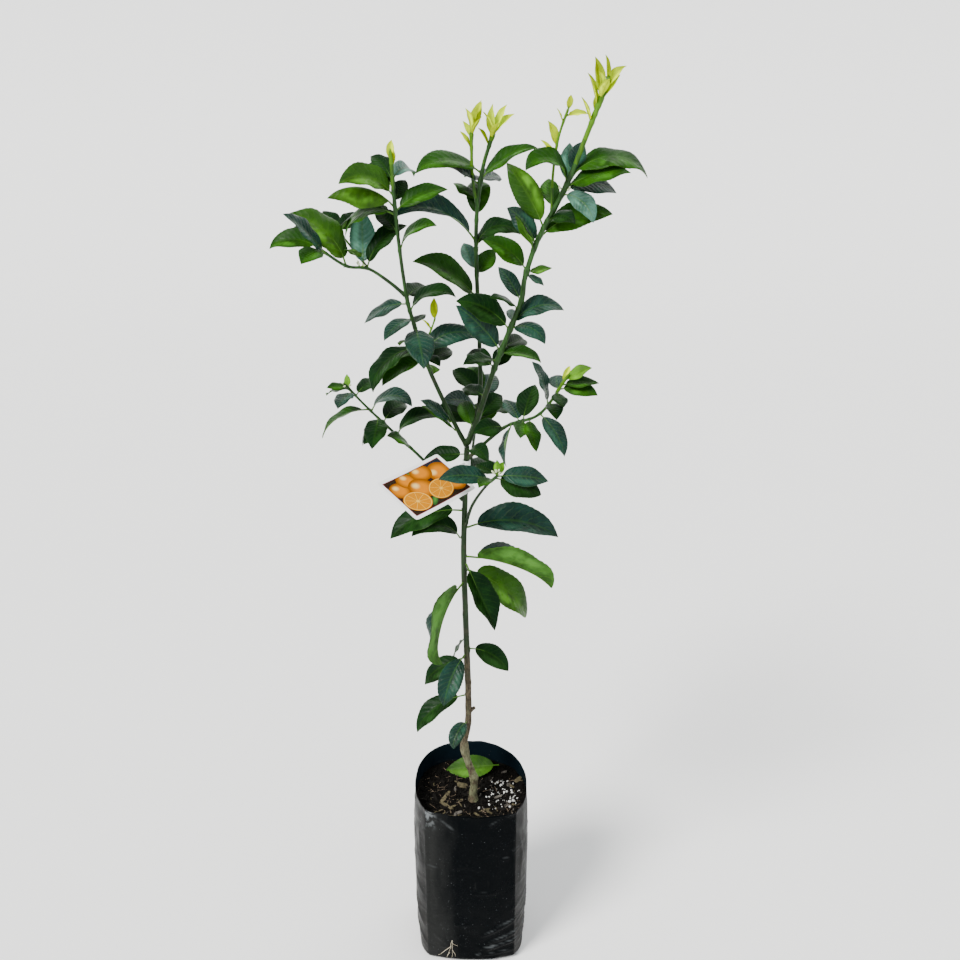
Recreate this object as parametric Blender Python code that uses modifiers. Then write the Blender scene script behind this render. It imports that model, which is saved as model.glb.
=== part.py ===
"""A young grafted honey murcott mandarin tree in a black planter bag, as separate solids.

X runs right, Y runs away from the viewer and Z runs up, in metres. The origin is the centre of the
bag's flat underside. Sizes read from the plant are in millimetres, and MM turns them into metres.
"""

import math
import random
from typing import NamedTuple

import bmesh
import bpy
from mathutils import Matrix, Vector
from mathutils.bvhtree import BVHTree

MM = 0.001
GAP = 0.3 * MM

# The planter bag: half widths at foot and mouth, wall, height of the mouth and how far it waves
BAG_FOOT_HALF = 75 * MM
BAG_MOUTH_HALF = 78 * MM
BAG_BELLY = 5 * MM
BAG_FOOT_SQUARENESS = 3.4
BAG_MOUTH_SQUARENESS = 2.3
BAG_FRONT_DEPTH = 66 * MM
BAG_FRONT_BOW = 13 * MM
BAG_CREASE = 62 * MM
BAG_WALL = 1.2 * MM
BAG_HEIGHT = 272 * MM
BAG_RIM_WAVE = 5 * MM
BAG_BACK_RISE = 6 * MM
BAG_LEVELS = (0.0, 0.035, 0.11, 0.27, 0.45, 0.65, 0.85, 1.0)
BAG_FRONT_STEPS = 8
BAG_BACK_STEPS = 24
BAG_FOOT_TUCK = 0.9

# The potting mix inside the bag
MIX_HEIGHT = 241 * MM
GROUND = Vector((0, 0, MIX_HEIGHT))
MIX_RISE_AT_WALL = 9 * MM
MIX_ROUGHNESS = 2.5 * MM
MIX_CLEARANCE = 1.3 * MM
MIX_FLAT_RADIUS = 14 * MM
MIX_RINGS = (0.3, 0.56, 0.8, 1.0)
MIX_FLOOR = BAG_WALL + GAP + 0.1 * MM
MIX_FLAT_MARGIN = 1.3
MIX_SEAT_RADIUS = 11.2 * MM

# The printed tag: its four corners' plane is set by its centre and two edge directions
TAG_CENTRE = Vector((-49, -64, 512)) * MM + GROUND
TAG_LONG = 99 * MM
TAG_SHORT = 68 * MM
TAG_THICK = 0.9 * MM
TAG_LONG_RUN = Vector((0.67, 0.74, 0.08))
TAG_SHORT_RUN = Vector((0.70, -0.59, -0.41))
TAG_STRAP_WIDE = 8 * MM
TAG_STRAP_THICK = 0.7 * MM
TAG_STRAP_OVERLAP = 6 * MM
TAG_STRAP_STEPS = 5
TAG_LOOP_HEIGHT = 513 * MM
TAG_LOOP_WALL = 1.4 * MM
TAG_LOOP_TALL = 11 * MM
TAG_LOOP_SLACK = 1.0 * MM

# The leaf that has dropped on the mix
DROPPED_LEAF_FOOT = Vector((41, 53, 22)) * MM + GROUND
DROPPED_LEAF = (178, -4, 80, 8)
DROPPED_LEAF_LEAN = -40

# How a leaf is shaped, as shares of its length
LEAF_WIDTH = 0.49
BLADE_SKEW = 0.86
BLADE_FOOT_ROUND = 0.85
BLADE_TIP_DRAWN = 1.3
LEAF_SLIMMING = 1.6
LEAF_PETIOLE = 0.11
LEAF_THICK = 1 / 62
LEAF_LEAST_THICK = 1.0 * MM
PETIOLE_RADIUS = 0.75 * MM
LEAF_FOLD = 16
LEAF_LEAN = 36
LEAF_STATIONS = (0.0, 0.2, 0.46, 0.76)
LONG_LEAF_STATIONS = (0.0, 0.14, 0.36, 0.6, 0.83)
LONG_LEAF_DROOP = 65
LEAF_CLEARANCE = 0.9 * MM
SWINGS = (0, 12, -12, 24, -24, 36, -36)
LIFTS = (0, 14, -14, 26)



class Shoot(NamedTuple):
    """A stem from foot to tip: points it runs through (right, away, up) and its end radii, in mm."""

    way: tuple
    foot: float
    tip: float


SHOOTS = {
    "trunk": Shoot(((3, 0, 0.3), (3, 0, 12), (4, 0, 37), (-9, 0, 91), (-3, 0, 146), (-6, 0, 295),
                    (-8, 0, 385), (-6, 0, 465), (-3, 0, 543)), 5.2, 3.4),
    "centre": Shoot(((-3, 0, 540), (12, 22, 587), (12, 38, 655), (8, 50, 775), (14, 53, 847),
                     (28, 55, 895)), 3.0, 2.3),
    "centre_twin": Shoot(((9, 52, 815), (4, 50, 847), (3, 47, 897)), 2.1, 1.8),
    "left": Shoot(((-3, 0, 537), (-19, -2, 570), (-49, -5, 641), (-63, -8, 690), (-71, -10, 725),
                   (-79, -14, 805), (-83, -18, 883)), 3.0, 1.9),
    "left_side": Shoot(((-56, -6, 668), (-46, -4, 678), (-38, -2, 698)), 1.4, 1.0),
    "far_left": Shoot(((-71, -10, 723), (-89, -8, 738), (-113, -5, 753), (-136, -20, 759),
                       (-163, -35, 781)), 2.2, 1.6),
    "far_left_rise": Shoot(((-113, -5, 753), (-125, 5, 766), (-150, 28, 791)), 1.6, 1.2),
    "right": Shoot(((-3, 0, 539), (7, -2, 565), (31, -8, 642), (58, -14, 714), (63, -15, 745),
                    (77, -20, 789), (105, -28, 846), (126, -32, 902), (145, -35, 955)), 3.6, 2.6),
    "right_side": Shoot(((90, -24, 819), (91, -22, 860), (96, -20, 895), (106, -18, 925)), 1.8, 1.3),
    "low_left": Shoot(((-8, 0, 466), (-59, 20, 513), (-122, 32, 572), (-154, 34, 607)), 2.5, 1.4),
    "low_right": Shoot(((-4, 0, 520), (42, -28, 572), (82, -45, 595), (113, -58, 647)), 2.5, 1.5),
    "front": Shoot(((-5, 0, 433), (3, -22, 468), (18, -50, 504), (33, -72, 529)), 2.3, 1.5),
    "back": Shoot(((-5, 0, 475), (2, 35, 510), (8, 62, 547), (16, 92, 597)), 2.3, 1.3),
}

TRUNK_SIDES = 3
LIMB_SIDES = 2
STEM_SIDES = 0
TRUNK_STEP = 11 * MM
PATH_STEP = 14 * MM
TAPER = 0.6
FLARE = 0.42
FLARE_HEIGHT = 9
UNION_KNOB = 0.34
UNION_PLACE = 88
UNION_SPREAD = 12
FOOT_KNOB = 0.22
FOOT_PLACE = 38
FOOT_SPREAD = 9

# Each solid limb or leafy mass is a stretch of a shoot, in mm from its foot. A mass may hold several
END = None
LIMBS = (
    ("trunk", "trunk", 0, END),
    ("centre_bough", "centre", 0, 150),
    ("left_bough", "left", 0, 105),
    ("right_bough", "right", 0, 92),
    ("low_left_bough", "low_left", 0, 80),
    ("low_right_bough", "low_right", 0, 65),
    ("front_bough", "front", 0, 104),
    ("back_bough", "back", 0, 72),
    ("far_left_bough", "far_left", 0, 34),
)
MASSES = (
    ("centre_foliage", (("centre", 150, END), ("centre_twin", 0, END))),
    ("left_middle_foliage", (("left", 105, 222), ("left_side", 0, END))),
    ("left_crown_foliage", (("left", 222, END),)),
    ("far_left_foliage", (("far_left", 34, END), ("far_left_rise", 0, END))),
    ("right_middle_foliage", (("right", 92, 205),)),
    ("right_crown_foliage", (("right", 205, 290),)),
    ("right_top_foliage", (("right", 290, END), ("right_side", 0, END))),
    ("low_left_foliage", (("low_left", 80, END),)),
    ("low_right_foliage", (("low_right", 65, END),)),
    ("front_foliage", (("front", 104, END),)),
    ("back_foliage", (("back", 72, END),)),
)

# Leaves as they stand on each shoot: mm from its foot, compass turn (0 right, 90 away, 180 left,
# 270 toward the viewer), rise at the foot, length in mm and bend to the tip, then, where a leaf
# shows them, its roll about its own midrib and its fold along it
LEAVES = {
    "trunk": (
        (454, 184, 8, 100, 55), (431, 355, 26, 122, 65, 34, 34), (416, 190, 66, 75, 112),
        (390, 350, 6, 120, 64, -20, 50), (370, 10, -20, 120, 40), (380, 320, -45, 92, 10, 10, 36),
        (353, 240, -8, 120, 92, 40, 50), (266, 135, -60, 42, 10), (253, 355, -6, 62, 52),
        (245, 230, -25, 75, 50), (238, 175, 0, 68, 65), (180, 190, 0, 88, 58, -20),
        (138, 245, 30, 52, 120),
        (535, 320, 55, 50, 80), (528, 120, 10, 45, 10), (505, 50, 10, 50, 30),
    ),
    "left": (
        (38, 210, 50, 50, 15), (26, 235, 50, 55, 15),
        (115, 75, -20, 45, 20), (116, 45, 30, 50, 50), (120, 190, -5, 60, 40), (127, 20, 62, 75, 95),
        (124, 320, 20, 30, 60), (131, 155, -5, 65, 50), (136, 195, 12, 85, 86, -12),
        (146, 125, -5, 50, 30),
        (160, 280, 0, 72, 50), (165, 75, 15, 32, 10), (172, 240, 10, 55, 50), (181, 345, 70, 66, 100),
        (190, 170, 0, 60, 50), (197, 70, 20, 50, 30), (250, 335, 80, 60, 90), (270, 120, 35, 50, 20),
        (290, 170, 30, 80, 110), (294, 10, 45, 65, 50), (298, 190, 54, 82, 88, -34, -34),
        (303, 75, 40, 38, 10), (310, 200, 58, 70, 85, -48), (327, 50, 60, 48, 120),
        (319, 140, 50, 55, 60),
        (325, 125, 55, 50, 50), (340, 80, 75, 20, 0), (346, 100, 80, 24, 0),
    ),
    "left_side": ((31, 90, 86, 26, 10), (20, 200, 55, 16, 10)),
    "far_left": (
        (54, 355, 75, 70, 60), (58, 95, 65, 66, -15), (80, 205, 60, 78, 45), (108, 220, 48, 72, 10, -55),
        (114, 250, 10, 50, 30), (118, 190, 40, 60, 80), (120, 145, 45, 55, 60),
    ),
    "far_left_rise": (
        (15, 250, 35, 40, 20), (56, 300, 60, 35, 50), (60, 120, 40, 40, 20), (60, 60, 30, 40, 10),
    ),
    "low_left": (
        (92, 220, 62, 42, 50), (115, 355, 70, 70, 100, 20), (132, 240, 5, 45, 40),
        (138, 60, 40, 55, 60), (141, 160, -30, 50, 40), (147, 275, 0, 60, 40, 0),
        (158, 350, 70, 68, 112, 18), (162, 190, 10, 75, 70, 0), (185, 50, 40, 50, 60, 15),
        (191, 250, 10, 46, 35), (196, 140, -5, 45, 30), (200, 215, 20, 28, 20), (198, 150, 60, 18, 0),
    ),
    "centre": (
        (178, 205, 58, 101, 48, -52, 24), (205, 55, 40, 45, 10), (210, 120, 40, 45, 0),
        (235, 345, 85, 70, 130), (245, 200, 57, 120, 75, -32, 34), (268, 80, 84, 76, 100, 0, 8),
        (290, 115, 20, 45, 20), (308, 190, 45, 55, 40), (311, 110, 15, 40, 20),
        (315, 355, 50, 75, 40), (313, 70, 5, 55, 10), (321, 170, 40, 86, 72),
        (352, 200, 60, 24, 10), (362, 115, 70, 28, 0), (359, 295, 55, 26, 15),
        (363, 345, 55, 34, 20), (366, 20, 65, 34, 0),
        (367, 230, 60, 30, 20), (371, 70, 80, 30, 0),
    ),
    "centre_twin": (
        (64, 190, 60, 22, 10), (74, 135, 75, 22, 10), (77, 320, 60, 26, 10), (78, 240, 80, 30, 10),
        (80, 30, 70, 36, 10), (82, 350, 72, 34, 0),
    ),
    "right": (
        (35, 60, 40, 50, 30), (22, 115, 45, 50, 40), (66, 120, 10, 42, 20), (103, 55, 50, 42, 30),
        (105, 135, 25, 55, 40), (114, 215, 25, 50, 40), (126, 205, 60, 78, 25, -75),
        (124, 335, 15, 52, 50), (128, 75, 5, 50, 10), (131, 45, 15, 50, 30),
        (154, 190, 58, 74, 55), (156, 322, 35, 54, 95), (160, 355, 59, 70, 95),
        (163, 95, 20, 34, 10), (180, 220, 53, 46, 50), (190, 152, 64, 48, 30),
        (222, 330, -22, 24, 10), (225, 350, 10, 28, 0), (226, 190, 60, 62, 50),
        (251, 230, 55, 55, 10), (256, 160, 75, 55, 60, -75), (265, 355, 42, 90, 62),
        (277, 167, 68, 80, 22, -85), (285, 335, 40, 45, 70), (300, 105, 40, 50, 10),
        (318, 325, 6, 52, 78, 35), (322, 10, 28, 66, 64), (330, 185, 88, 66, 140),
        (326, 345, 35, 72, 40), (330, 75, 70, 45, 10), (338, 5, 50, 98, 100), (342, 60, 60, 38, 10),
        (396, 205, 65, 28, 0), (405, 50, 65, 24, 10), (413, 215, 70, 36, 10, -60), (416, 350, 72, 36, 15),
        (420, 285, 55, 28, 15),
        (422, 130, 78, 40, 0), (427, 250, 60, 26, 10), (431, 15, 55, 32, 20), (440, 180, 84, 24, 0),
    ),
    "right_side": (
        (52, 205, 75, 26, 10), (66, 150, 75, 28, 10), (92, 200, 60, 16, 0), (98, 10, 15, 26, 20),
        (104, 60, 60, 18, 0),
    ),
    "low_right": (
        (74, 225, 25, 48, 40, -50), (85, 240, -45, 52, 40, 60), (95, 105, 25, 45, 10),
        (100, 75, 40, 55, 10), (101, 255, 0, 40, 20), (109, 250, -15, 47, 40),
        (124, 308, -20, 60, 50), (139, 200, 85, 58, 32), (141, 285, 20, 45, 50),
        (159, 270, 0, 40, 10), (161, 95, 20, 35, 10), (163, 355, 15, 45, 40),
        (169, 15, 15, 42, 20), (172, 50, 55, 22, 10), (176, 350, 40, 34, 20),
    ),
    "front": (
        (113, 195, 25, 65, 38), (116, 230, 15, 34, 20), (119, 350, -20, 58, 20), (124, 355, 8, 62, 30),
        (125, 65, 40, 20, 10), (126, 90, 80, 18, 10), (127, 125, 5, 42, 10),
    ),
    "back": (
        (86, 72, 40, 70, 60), (92, 150, 35, 75, 70), (104, 80, 20, 70, 60), (112, 215, 50, 60, 60),
        (122, 62, 45, 60, 50), (128, 100, 55, 60, 50), (131, 125, 40, 55, 50),
    ),
}

COLOURS = {
    "bag": ((0.012, 0.013, 0.015), 0.34),
    "mix": ((0.035, 0.024, 0.017), 0.95),
    "bark": ((0.16, 0.12, 0.08), 0.85),
    "bough": ((0.05, 0.1, 0.03), 0.6),
    "leaf": ((0.035, 0.11, 0.022), 0.38),
    "young": ((0.33, 0.5, 0.05), 0.42),
    "tag": ((0.8, 0.6, 0.3), 0.3),
}


class Place(NamedTuple):
    """A point on a path, the way the path runs there and its radius, in metres."""

    point: Vector
    run: Vector
    radius: float


class Path:
    """A smooth line through a shoot's way points, measured in millimetres from its foot."""

    def __init__(self, name):
        shoot = SHOOTS[name]
        self.name = name
        self.shoot = shoot
        way = [Vector(point) * MM + GROUND for point in shoot.way]
        way = [way[0] * 2 - way[1], *way, way[-1] * 2 - way[-2]]
        self.points = []
        for a, b, c, d in zip(way, way[1:], way[2:], way[3:]):
            steps = max(2, round((c - b).length / (2 * MM)))
            for k in range(steps):
                self.points.append(between(a, b, c, d, k / steps))
        self.points.append(way[-2])
        self.miles = [0.0]
        for a, b in zip(self.points, self.points[1:]):
            self.miles.append(self.miles[-1] + (b - a).length)
        self.length = self.miles[-1] / MM

    def at(self, mm):
        """The place this many millimetres from the foot."""
        goal = min(max(mm, 0), self.length) * MM
        k = next((k for k, mile in enumerate(self.miles[1:]) if mile >= goal), len(self.miles) - 2)
        a, b = self.points[k], self.points[k + 1]
        share = (goal - self.miles[k]) / (self.miles[k + 1] - self.miles[k])
        return Place(a.lerp(b, share), (b - a).normalized(), self.radius(mm))

    def radius(self, mm):
        """The stem's radius there: an even taper, with root flare and knobs on the trunk."""
        share = mm / self.length
        radius = self.shoot.foot + (self.shoot.tip - self.shoot.foot) * share ** TAPER
        if self.name == "trunk":
            swell = FLARE * math.exp(-mm / FLARE_HEIGHT)
            swell += UNION_KNOB * math.exp(-(((mm - UNION_PLACE) / UNION_SPREAD) ** 2))
            swell += FOOT_KNOB * math.exp(-(((mm - FOOT_PLACE) / FOOT_SPREAD) ** 2))
            radius *= 1 + swell
        return radius * MM

    def stretch(self, start, end):
        """Places along a stretch of the path, about a step apart."""
        end = self.length if end is None else end
        step = TRUNK_STEP if self.name == "trunk" else PATH_STEP
        count = max(2, round((end - start) * MM / step))
        return [self.at(start + (end - start) * k / count) for k in range(count + 1)]


class Leaf(NamedTuple):
    """A leaf's foot, turn, rise, length, bend and lean, with its own small differences."""

    foot: Vector
    turn: float
    rise: float
    length: float
    droop: float
    lean: float
    wide: float
    fold: float
    sweep: float


def between(a, b, c, d, t):
    """A point on the smooth curve from b to c, with a before them and d after."""
    return 0.5 * ((2 * b) + (c - a) * t + (2 * a - 5 * b + 4 * c - d) * t * t
                  + (3 * b - a - 3 * c + d) * t ** 3)


def clear_scene():
    for thing in list(bpy.data.objects):
        bpy.data.objects.remove(thing, do_unlink=True)


def finish(slot):
    """The plain material of a kind of piece."""
    name = "finish_" + slot
    if name in bpy.data.materials:
        return bpy.data.materials[name]
    colour, roughness = COLOURS[slot]
    material = bpy.data.materials.new(name)
    material.use_nodes = True
    shader = material.node_tree.nodes["Principled BSDF"]
    shader.inputs["Base Color"].default_value = (*colour, 1)
    shader.inputs["Roughness"].default_value = roughness
    shader.inputs["Metallic"].default_value = 0
    material.diffuse_color = (*colour, 1)
    return material


def new_object(name, mesh, group, slot):
    piece = bpy.data.objects.new(name, mesh)
    mesh.materials.clear()
    mesh.materials.append(finish(slot))
    group.objects.link(piece)
    return piece


def tube(name, places, sides, group, slot, grow=0.0):
    """A round stem through the places, made from a bevelled curve with its ends closed."""
    curve = bpy.data.curves.new(name, "CURVE")
    curve.dimensions = "3D"
    curve.bevel_depth = 1
    curve.bevel_resolution = sides
    curve.use_fill_caps = True
    spline = curve.splines.new("POLY")
    spline.points.add(len(places) - 1)
    for point, place in zip(spline.points, places):
        point.co = (*place.point, 1)
        point.radius = place.radius + grow
    guide = bpy.data.objects.new(name + "_line", curve)
    group.objects.link(guide)
    graph = bpy.context.evaluated_depsgraph_get()
    mesh = bpy.data.meshes.new_from_object(guide.evaluated_get(graph))
    bpy.data.objects.remove(guide, do_unlink=True)
    cage = bmesh.new()
    cage.from_mesh(mesh)
    bmesh.ops.remove_doubles(cage, verts=cage.verts, dist=0.00002)
    bmesh.ops.recalc_face_normals(cage, faces=cage.faces)
    cage.to_mesh(mesh)
    cage.free()
    mesh.name = name
    mesh.shade_smooth()
    mesh.set_sharp_from_angle(angle=math.radians(60))
    return new_object(name, mesh, group, slot)


def heading(turn, rise):
    turn, rise = math.radians(turn), math.radians(rise)
    return Vector((math.cos(turn) * math.cos(rise), math.sin(turn) * math.cos(rise), math.sin(rise)))


def blade_width(share):
    """Half the blade's width over its greatest half width, from the petiole to the tip."""
    if not 0 < share < 1:
        return 0.0
    drawn = BLADE_FOOT_ROUND + (BLADE_TIP_DRAWN - BLADE_FOOT_ROUND) * share
    return math.sin(math.pi * share ** BLADE_SKEW) ** drawn


def blade_wide(length):
    """A blade's full width: long leaves are slimmer for their length."""
    return length * (LEAF_WIDTH - LEAF_SLIMMING * length)


def leaf_section(leaf, share):
    """The midrib's point, the way across and the way up at a share of the leaf's length."""
    steps = 12
    point = leaf.foot.copy()
    for k in range(steps):
        s = share * (k + 0.5) / steps
        run = heading(leaf.turn + leaf.sweep * s, leaf.rise - leaf.droop * s)
        point += run * (leaf.length * share / steps)
    run = heading(leaf.turn + leaf.sweep * share, leaf.rise - leaf.droop * share)
    turn = math.radians(leaf.turn + leaf.sweep * share)
    across = Vector((-math.sin(turn), math.cos(turn), 0))
    roll = Matrix.Rotation(math.radians(leaf.lean), 3, run)
    across = roll @ across
    return point, across, run.cross(across).normalized()


def leaf_rings(leaf, grow=0.0):
    """Four-cornered rings from the petiole's root to near the tip, then the tip's point."""
    stations = LONG_LEAF_STATIONS if leaf.droop > LONG_LEAF_DROOP else LEAF_STATIONS
    rings = [square_ring(leaf, 0.0, PETIOLE_RADIUS + grow)]
    thick = max(leaf.length * LEAF_THICK, LEAF_LEAST_THICK) / 2 + grow
    fold = math.radians(leaf.fold)
    for station in stations:
        share = LEAF_PETIOLE + (1 - LEAF_PETIOLE) * station
        if station == 0.0:
            rings.append(square_ring(leaf, share, PETIOLE_RADIUS + grow))
            continue
        middle, across, up = leaf_section(leaf, share)
        half = leaf.wide * blade_width(station) / 2 + grow
        rise = up * math.sin(fold) * half
        reach = across * math.cos(fold) * half
        rings.append([middle + reach + rise, middle + up * thick, middle - reach + rise,
                      middle - up * thick])
    return rings, leaf_section(leaf, 1.0)[0]


def square_ring(leaf, share, radius):
    middle, across, up = leaf_section(leaf, share)
    return [middle + across * radius, middle + up * radius, middle - across * radius,
            middle - up * radius]


def leaf_mesh(leaf, name="leaf", grow=0.0):
    """A closed leaf: petiole, folded blade and pointed tip."""
    rings, tip = leaf_rings(leaf, grow)
    cage = bmesh.new()
    rows = [[cage.verts.new(corner) for corner in ring] for ring in rings]
    end = cage.verts.new(tip)
    cage.faces.new(rows[0][::-1])
    for low, high in zip(rows, rows[1:]):
        for k in range(4):
            cage.faces.new((low[k], low[(k + 1) % 4], high[(k + 1) % 4], high[k]))
    for k in range(4):
        cage.faces.new((rows[-1][k], rows[-1][(k + 1) % 4], end))
    bmesh.ops.recalc_face_normals(cage, faces=cage.faces)
    mesh = bpy.data.meshes.new(name)
    cage.to_mesh(mesh)
    cage.free()
    return mesh


def skin_of(mesh, skip_rings=0):
    """A search tree over a mesh's triangles, leaving out those that use a leaf's first rings."""
    cage = bmesh.new()
    cage.from_mesh(mesh)
    if skip_rings:
        cage.verts.ensure_lookup_table()
        bmesh.ops.delete(cage, geom=cage.verts[:4 * skip_rings], context="VERTS")
    tree = BVHTree.FromBMesh(cage)
    cage.free()
    return tree


def leaf_on(path, row, seed, seat):
    """A leaf of a shoot: its root sunk in the stem, or, with a seat, just clear of the stem."""
    mm, turn, rise, length, droop, *shown = row
    draw = random.Random(seed)
    place = path.at(mm)
    out = heading(turn, 0)
    out = (out - place.run * out.dot(place.run)).normalized()
    if seat:
        tilt = abs(heading(turn, rise).dot(place.run))
        foot = place.point + out * (place.radius + GAP + PETIOLE_RADIUS * (0.15 + 1.1 * tilt))
    else:
        foot = place.point + out * (place.radius * 0.25)
    lean = LEAF_LEAN * math.cos(math.radians(turn)) + draw.uniform(-14, 14)
    size = length * MM
    wide = blade_wide(size) * draw.uniform(0.9, 1.12)
    fold = LEAF_FOLD * draw.uniform(0.4, 1.5)
    if shown:
        lean = shown[0]
        fold = shown[-1] if len(shown) > 1 else fold
    return Leaf(foot, turn, rise, size, droop, lean, wide, fold, draw.uniform(-22, 22))


class Plant:
    """What is already placed, so that each new leaf can keep clear of it."""

    def __init__(self):
        self.skins = []

    def add(self, node, mesh):
        self.skins.append((node, skin_of(mesh)))

    def is_free(self, leaf, own):
        mesh = leaf_mesh(leaf, "trial", LEAF_CLEARANCE)
        whole = skin_of(mesh)
        blade = skin_of(mesh, 2)
        bpy.data.meshes.remove(mesh)
        return not any((blade if own and node == own else whole).overlap(tree)
                       for node, tree in self.skins)

    def settle(self, leaf, own):
        """The leaf at the first swing and lift where it is clear, or nothing."""
        for lift in LIFTS:
            for swing in SWINGS:
                trial = leaf._replace(turn=leaf.turn + swing, rise=leaf.rise + lift)
                if self.is_free(trial, own):
                    mesh = leaf_mesh(trial, "placed")
                    self.add(own, mesh)
                    bpy.data.meshes.remove(mesh)
                    return trial
        return None


def rows_in(shoot, start, end):
    """A shoot's leaves that stand on one stretch of it."""
    return [row for row in LEAVES[shoot] if start <= row[0] and (end is None or row[0] <= end + 3)]


def seat_on(piece, cutters):
    """Cuts a limb's foot to the stems it grows from, a gap clear of them, and drops the scraps."""
    for cutter in cutters:
        cut = piece.modifiers.new("seat", "BOOLEAN")
        cut.operation = "DIFFERENCE"
        cut.solver = "EXACT"
        cut.object = cutter
    graph = bpy.context.evaluated_depsgraph_get()
    mesh = bpy.data.meshes.new_from_object(piece.evaluated_get(graph))
    piece.modifiers.clear()
    piece.data = mesh
    cage = bmesh.new()
    cage.from_mesh(mesh)
    bodies = []
    left = set(cage.verts)
    while left:
        body = [left.pop()]
        for vertex in body:
            for edge in vertex.link_edges:
                other = edge.other_vert(vertex)
                if other in left:
                    left.remove(other)
                    body.append(other)
        bodies.append(body)
    bodies.sort(key=len)
    for body in bodies[:-1]:
        bmesh.ops.delete(cage, geom=body, context="VERTS")
    cage.to_mesh(mesh)
    cage.free()


def fuse(stem, parts, name):
    """Joins a mass's twigs and leaves to its stem with one union, and removes them."""
    group = bpy.data.collections.new(name + "_leaves")
    bpy.context.scene.collection.children.link(group)
    for part in parts:
        for owner in list(part.users_collection):
            owner.objects.unlink(part)
        group.objects.link(part)
    union = stem.modifiers.new("union", "BOOLEAN")
    union.operation = "UNION"
    union.operand_type = "COLLECTION"
    union.solver = "EXACT"
    union.collection = group
    graph = bpy.context.evaluated_depsgraph_get()
    joined = bpy.data.meshes.new_from_object(stem.evaluated_get(graph))
    stem.modifiers.remove(union)
    stem.data = joined
    for part in parts:
        bpy.data.objects.remove(part, do_unlink=True)
    bpy.data.collections.remove(group)


def bag_outline(share, inset=0.0):
    """The bag's plan at a share of its height: a flat creased front and rounded sides and back."""
    belly = BAG_BELLY * math.sin(math.pi * min(share, 1.0))
    half = BAG_FOOT_HALF + (BAG_MOUTH_HALF - BAG_FOOT_HALF) * share + belly - inset
    power = BAG_FOOT_SQUARENESS + (BAG_MOUTH_SQUARENESS - BAG_FOOT_SQUARENESS) * share
    front = BAG_FRONT_DEPTH + belly - inset
    crease = BAG_CREASE - inset
    bow = BAG_FRONT_BOW * (0.6 + 0.4 * share)
    edge = front - bow
    start = math.atan2(-edge, crease)
    points = []
    for k in range(BAG_FRONT_STEPS):
        across = -1 + 2 * k / BAG_FRONT_STEPS
        points.append(Vector((crease * across, -front + bow * across * across, 0)))
    for k in range(BAG_BACK_STEPS):
        turn = start + (math.pi - 2 * start) * k / BAG_BACK_STEPS
        c, s = math.cos(turn), math.sin(turn)
        reach = half / (abs(c) ** power + abs(s) ** power) ** (1 / power)
        blend = min(1.0, k / 2, (BAG_BACK_STEPS - k) / 2)
        corner = math.hypot(crease, edge)
        reach = reach * blend + corner * (1 - blend)
        points.append(Vector((reach * c, reach * s, 0)))
    return points


def rim_height(point):
    """The mouth's edge: highest at the back, and a little higher at the left than the right."""
    back = max(0.0, point.y / BAG_MOUTH_HALF)
    return (BAG_HEIGHT + BAG_BACK_RISE * back * back
            + BAG_RIM_WAVE * (0.9 * point.y - 0.55 * point.x) / BAG_MOUTH_HALF)


def loft(rings, cap_first, cap_last):
    """A bmesh skin over rings of equal count, with its first and last ring closed on request."""
    cage = bmesh.new()
    rows = [[cage.verts.new(point) for point in ring] for ring in rings]
    for low, high in zip(rows, rows[1:]):
        for k in range(len(low)):
            n = (k + 1) % len(low)
            cage.faces.new((low[k], low[n], high[n], high[k]))
    if cap_first:
        cage.faces.new(rows[0][::-1])
    if cap_last:
        cage.faces.new(rows[-1])
    return cage


def make_bag(group):
    """The open bag: a lofted skin with its wall grown inwards."""
    rings = []
    for level in BAG_LEVELS:
        ring = bag_outline(level)
        tuck = BAG_FOOT_TUCK if level == 0 else 1.0
        rings.append([Vector((p.x * tuck, p.y * tuck, rim_height(p) * level)) for p in ring])
    cage = loft(rings, True, False)
    mesh = bpy.data.meshes.new("planter_bag")
    cage.to_mesh(mesh)
    cage.free()
    bag = new_object("planter_bag", mesh, group, "bag")
    wall = bag.modifiers.new("wall", "SOLIDIFY")
    wall.thickness = BAG_WALL
    wall.offset = -1
    wall.use_even_offset = True
    mesh.shade_smooth()
    mesh.set_sharp_from_angle(angle=math.radians(35))
    return bag


def make_mix(group):
    """The potting mix: it fills the bag to an uneven top, flat round the trunk's foot."""
    draw = random.Random("mix")
    inset = BAG_WALL + MIX_CLEARANCE
    top_share = MIX_HEIGHT / BAG_HEIGHT
    rings = []
    for level in (0.0, *[level for level in BAG_LEVELS if 0.02 < level < top_share - 0.05]):
        ring = bag_outline(max(level, 0.03), inset)
        tuck = BAG_FOOT_TUCK if level == 0 else 1.0
        row = [Vector((p.x * tuck, p.y * tuck, max(rim_height(p) * level, MIX_FLOOR))) for p in ring]
        rings.append(row)
    edge = bag_outline(top_share, inset)
    for ring_share in MIX_RINGS[::-1]:
        row = []
        for p in edge:
            height = MIX_HEIGHT + MIX_RISE_AT_WALL * ring_share ** 3
            if p.length * ring_share > MIX_FLAT_RADIUS * MIX_FLAT_MARGIN:
                height += draw.uniform(-MIX_ROUGHNESS, MIX_ROUGHNESS)
            row.append(Vector((p.x * ring_share, p.y * ring_share, height)))
        rings.append(row)
    foot = Vector((SHOOTS["trunk"].way[0][0] * MM, 0, MIX_HEIGHT))
    rings.append([foot + p.normalized() * MIX_SEAT_RADIUS for p in edge])
    cage = loft(rings, True, True)
    bmesh.ops.recalc_face_normals(cage, faces=cage.faces)
    mesh = bpy.data.meshes.new("potting_mix")
    cage.to_mesh(mesh)
    cage.free()
    return new_object("potting_mix", mesh, group, "mix")


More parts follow.
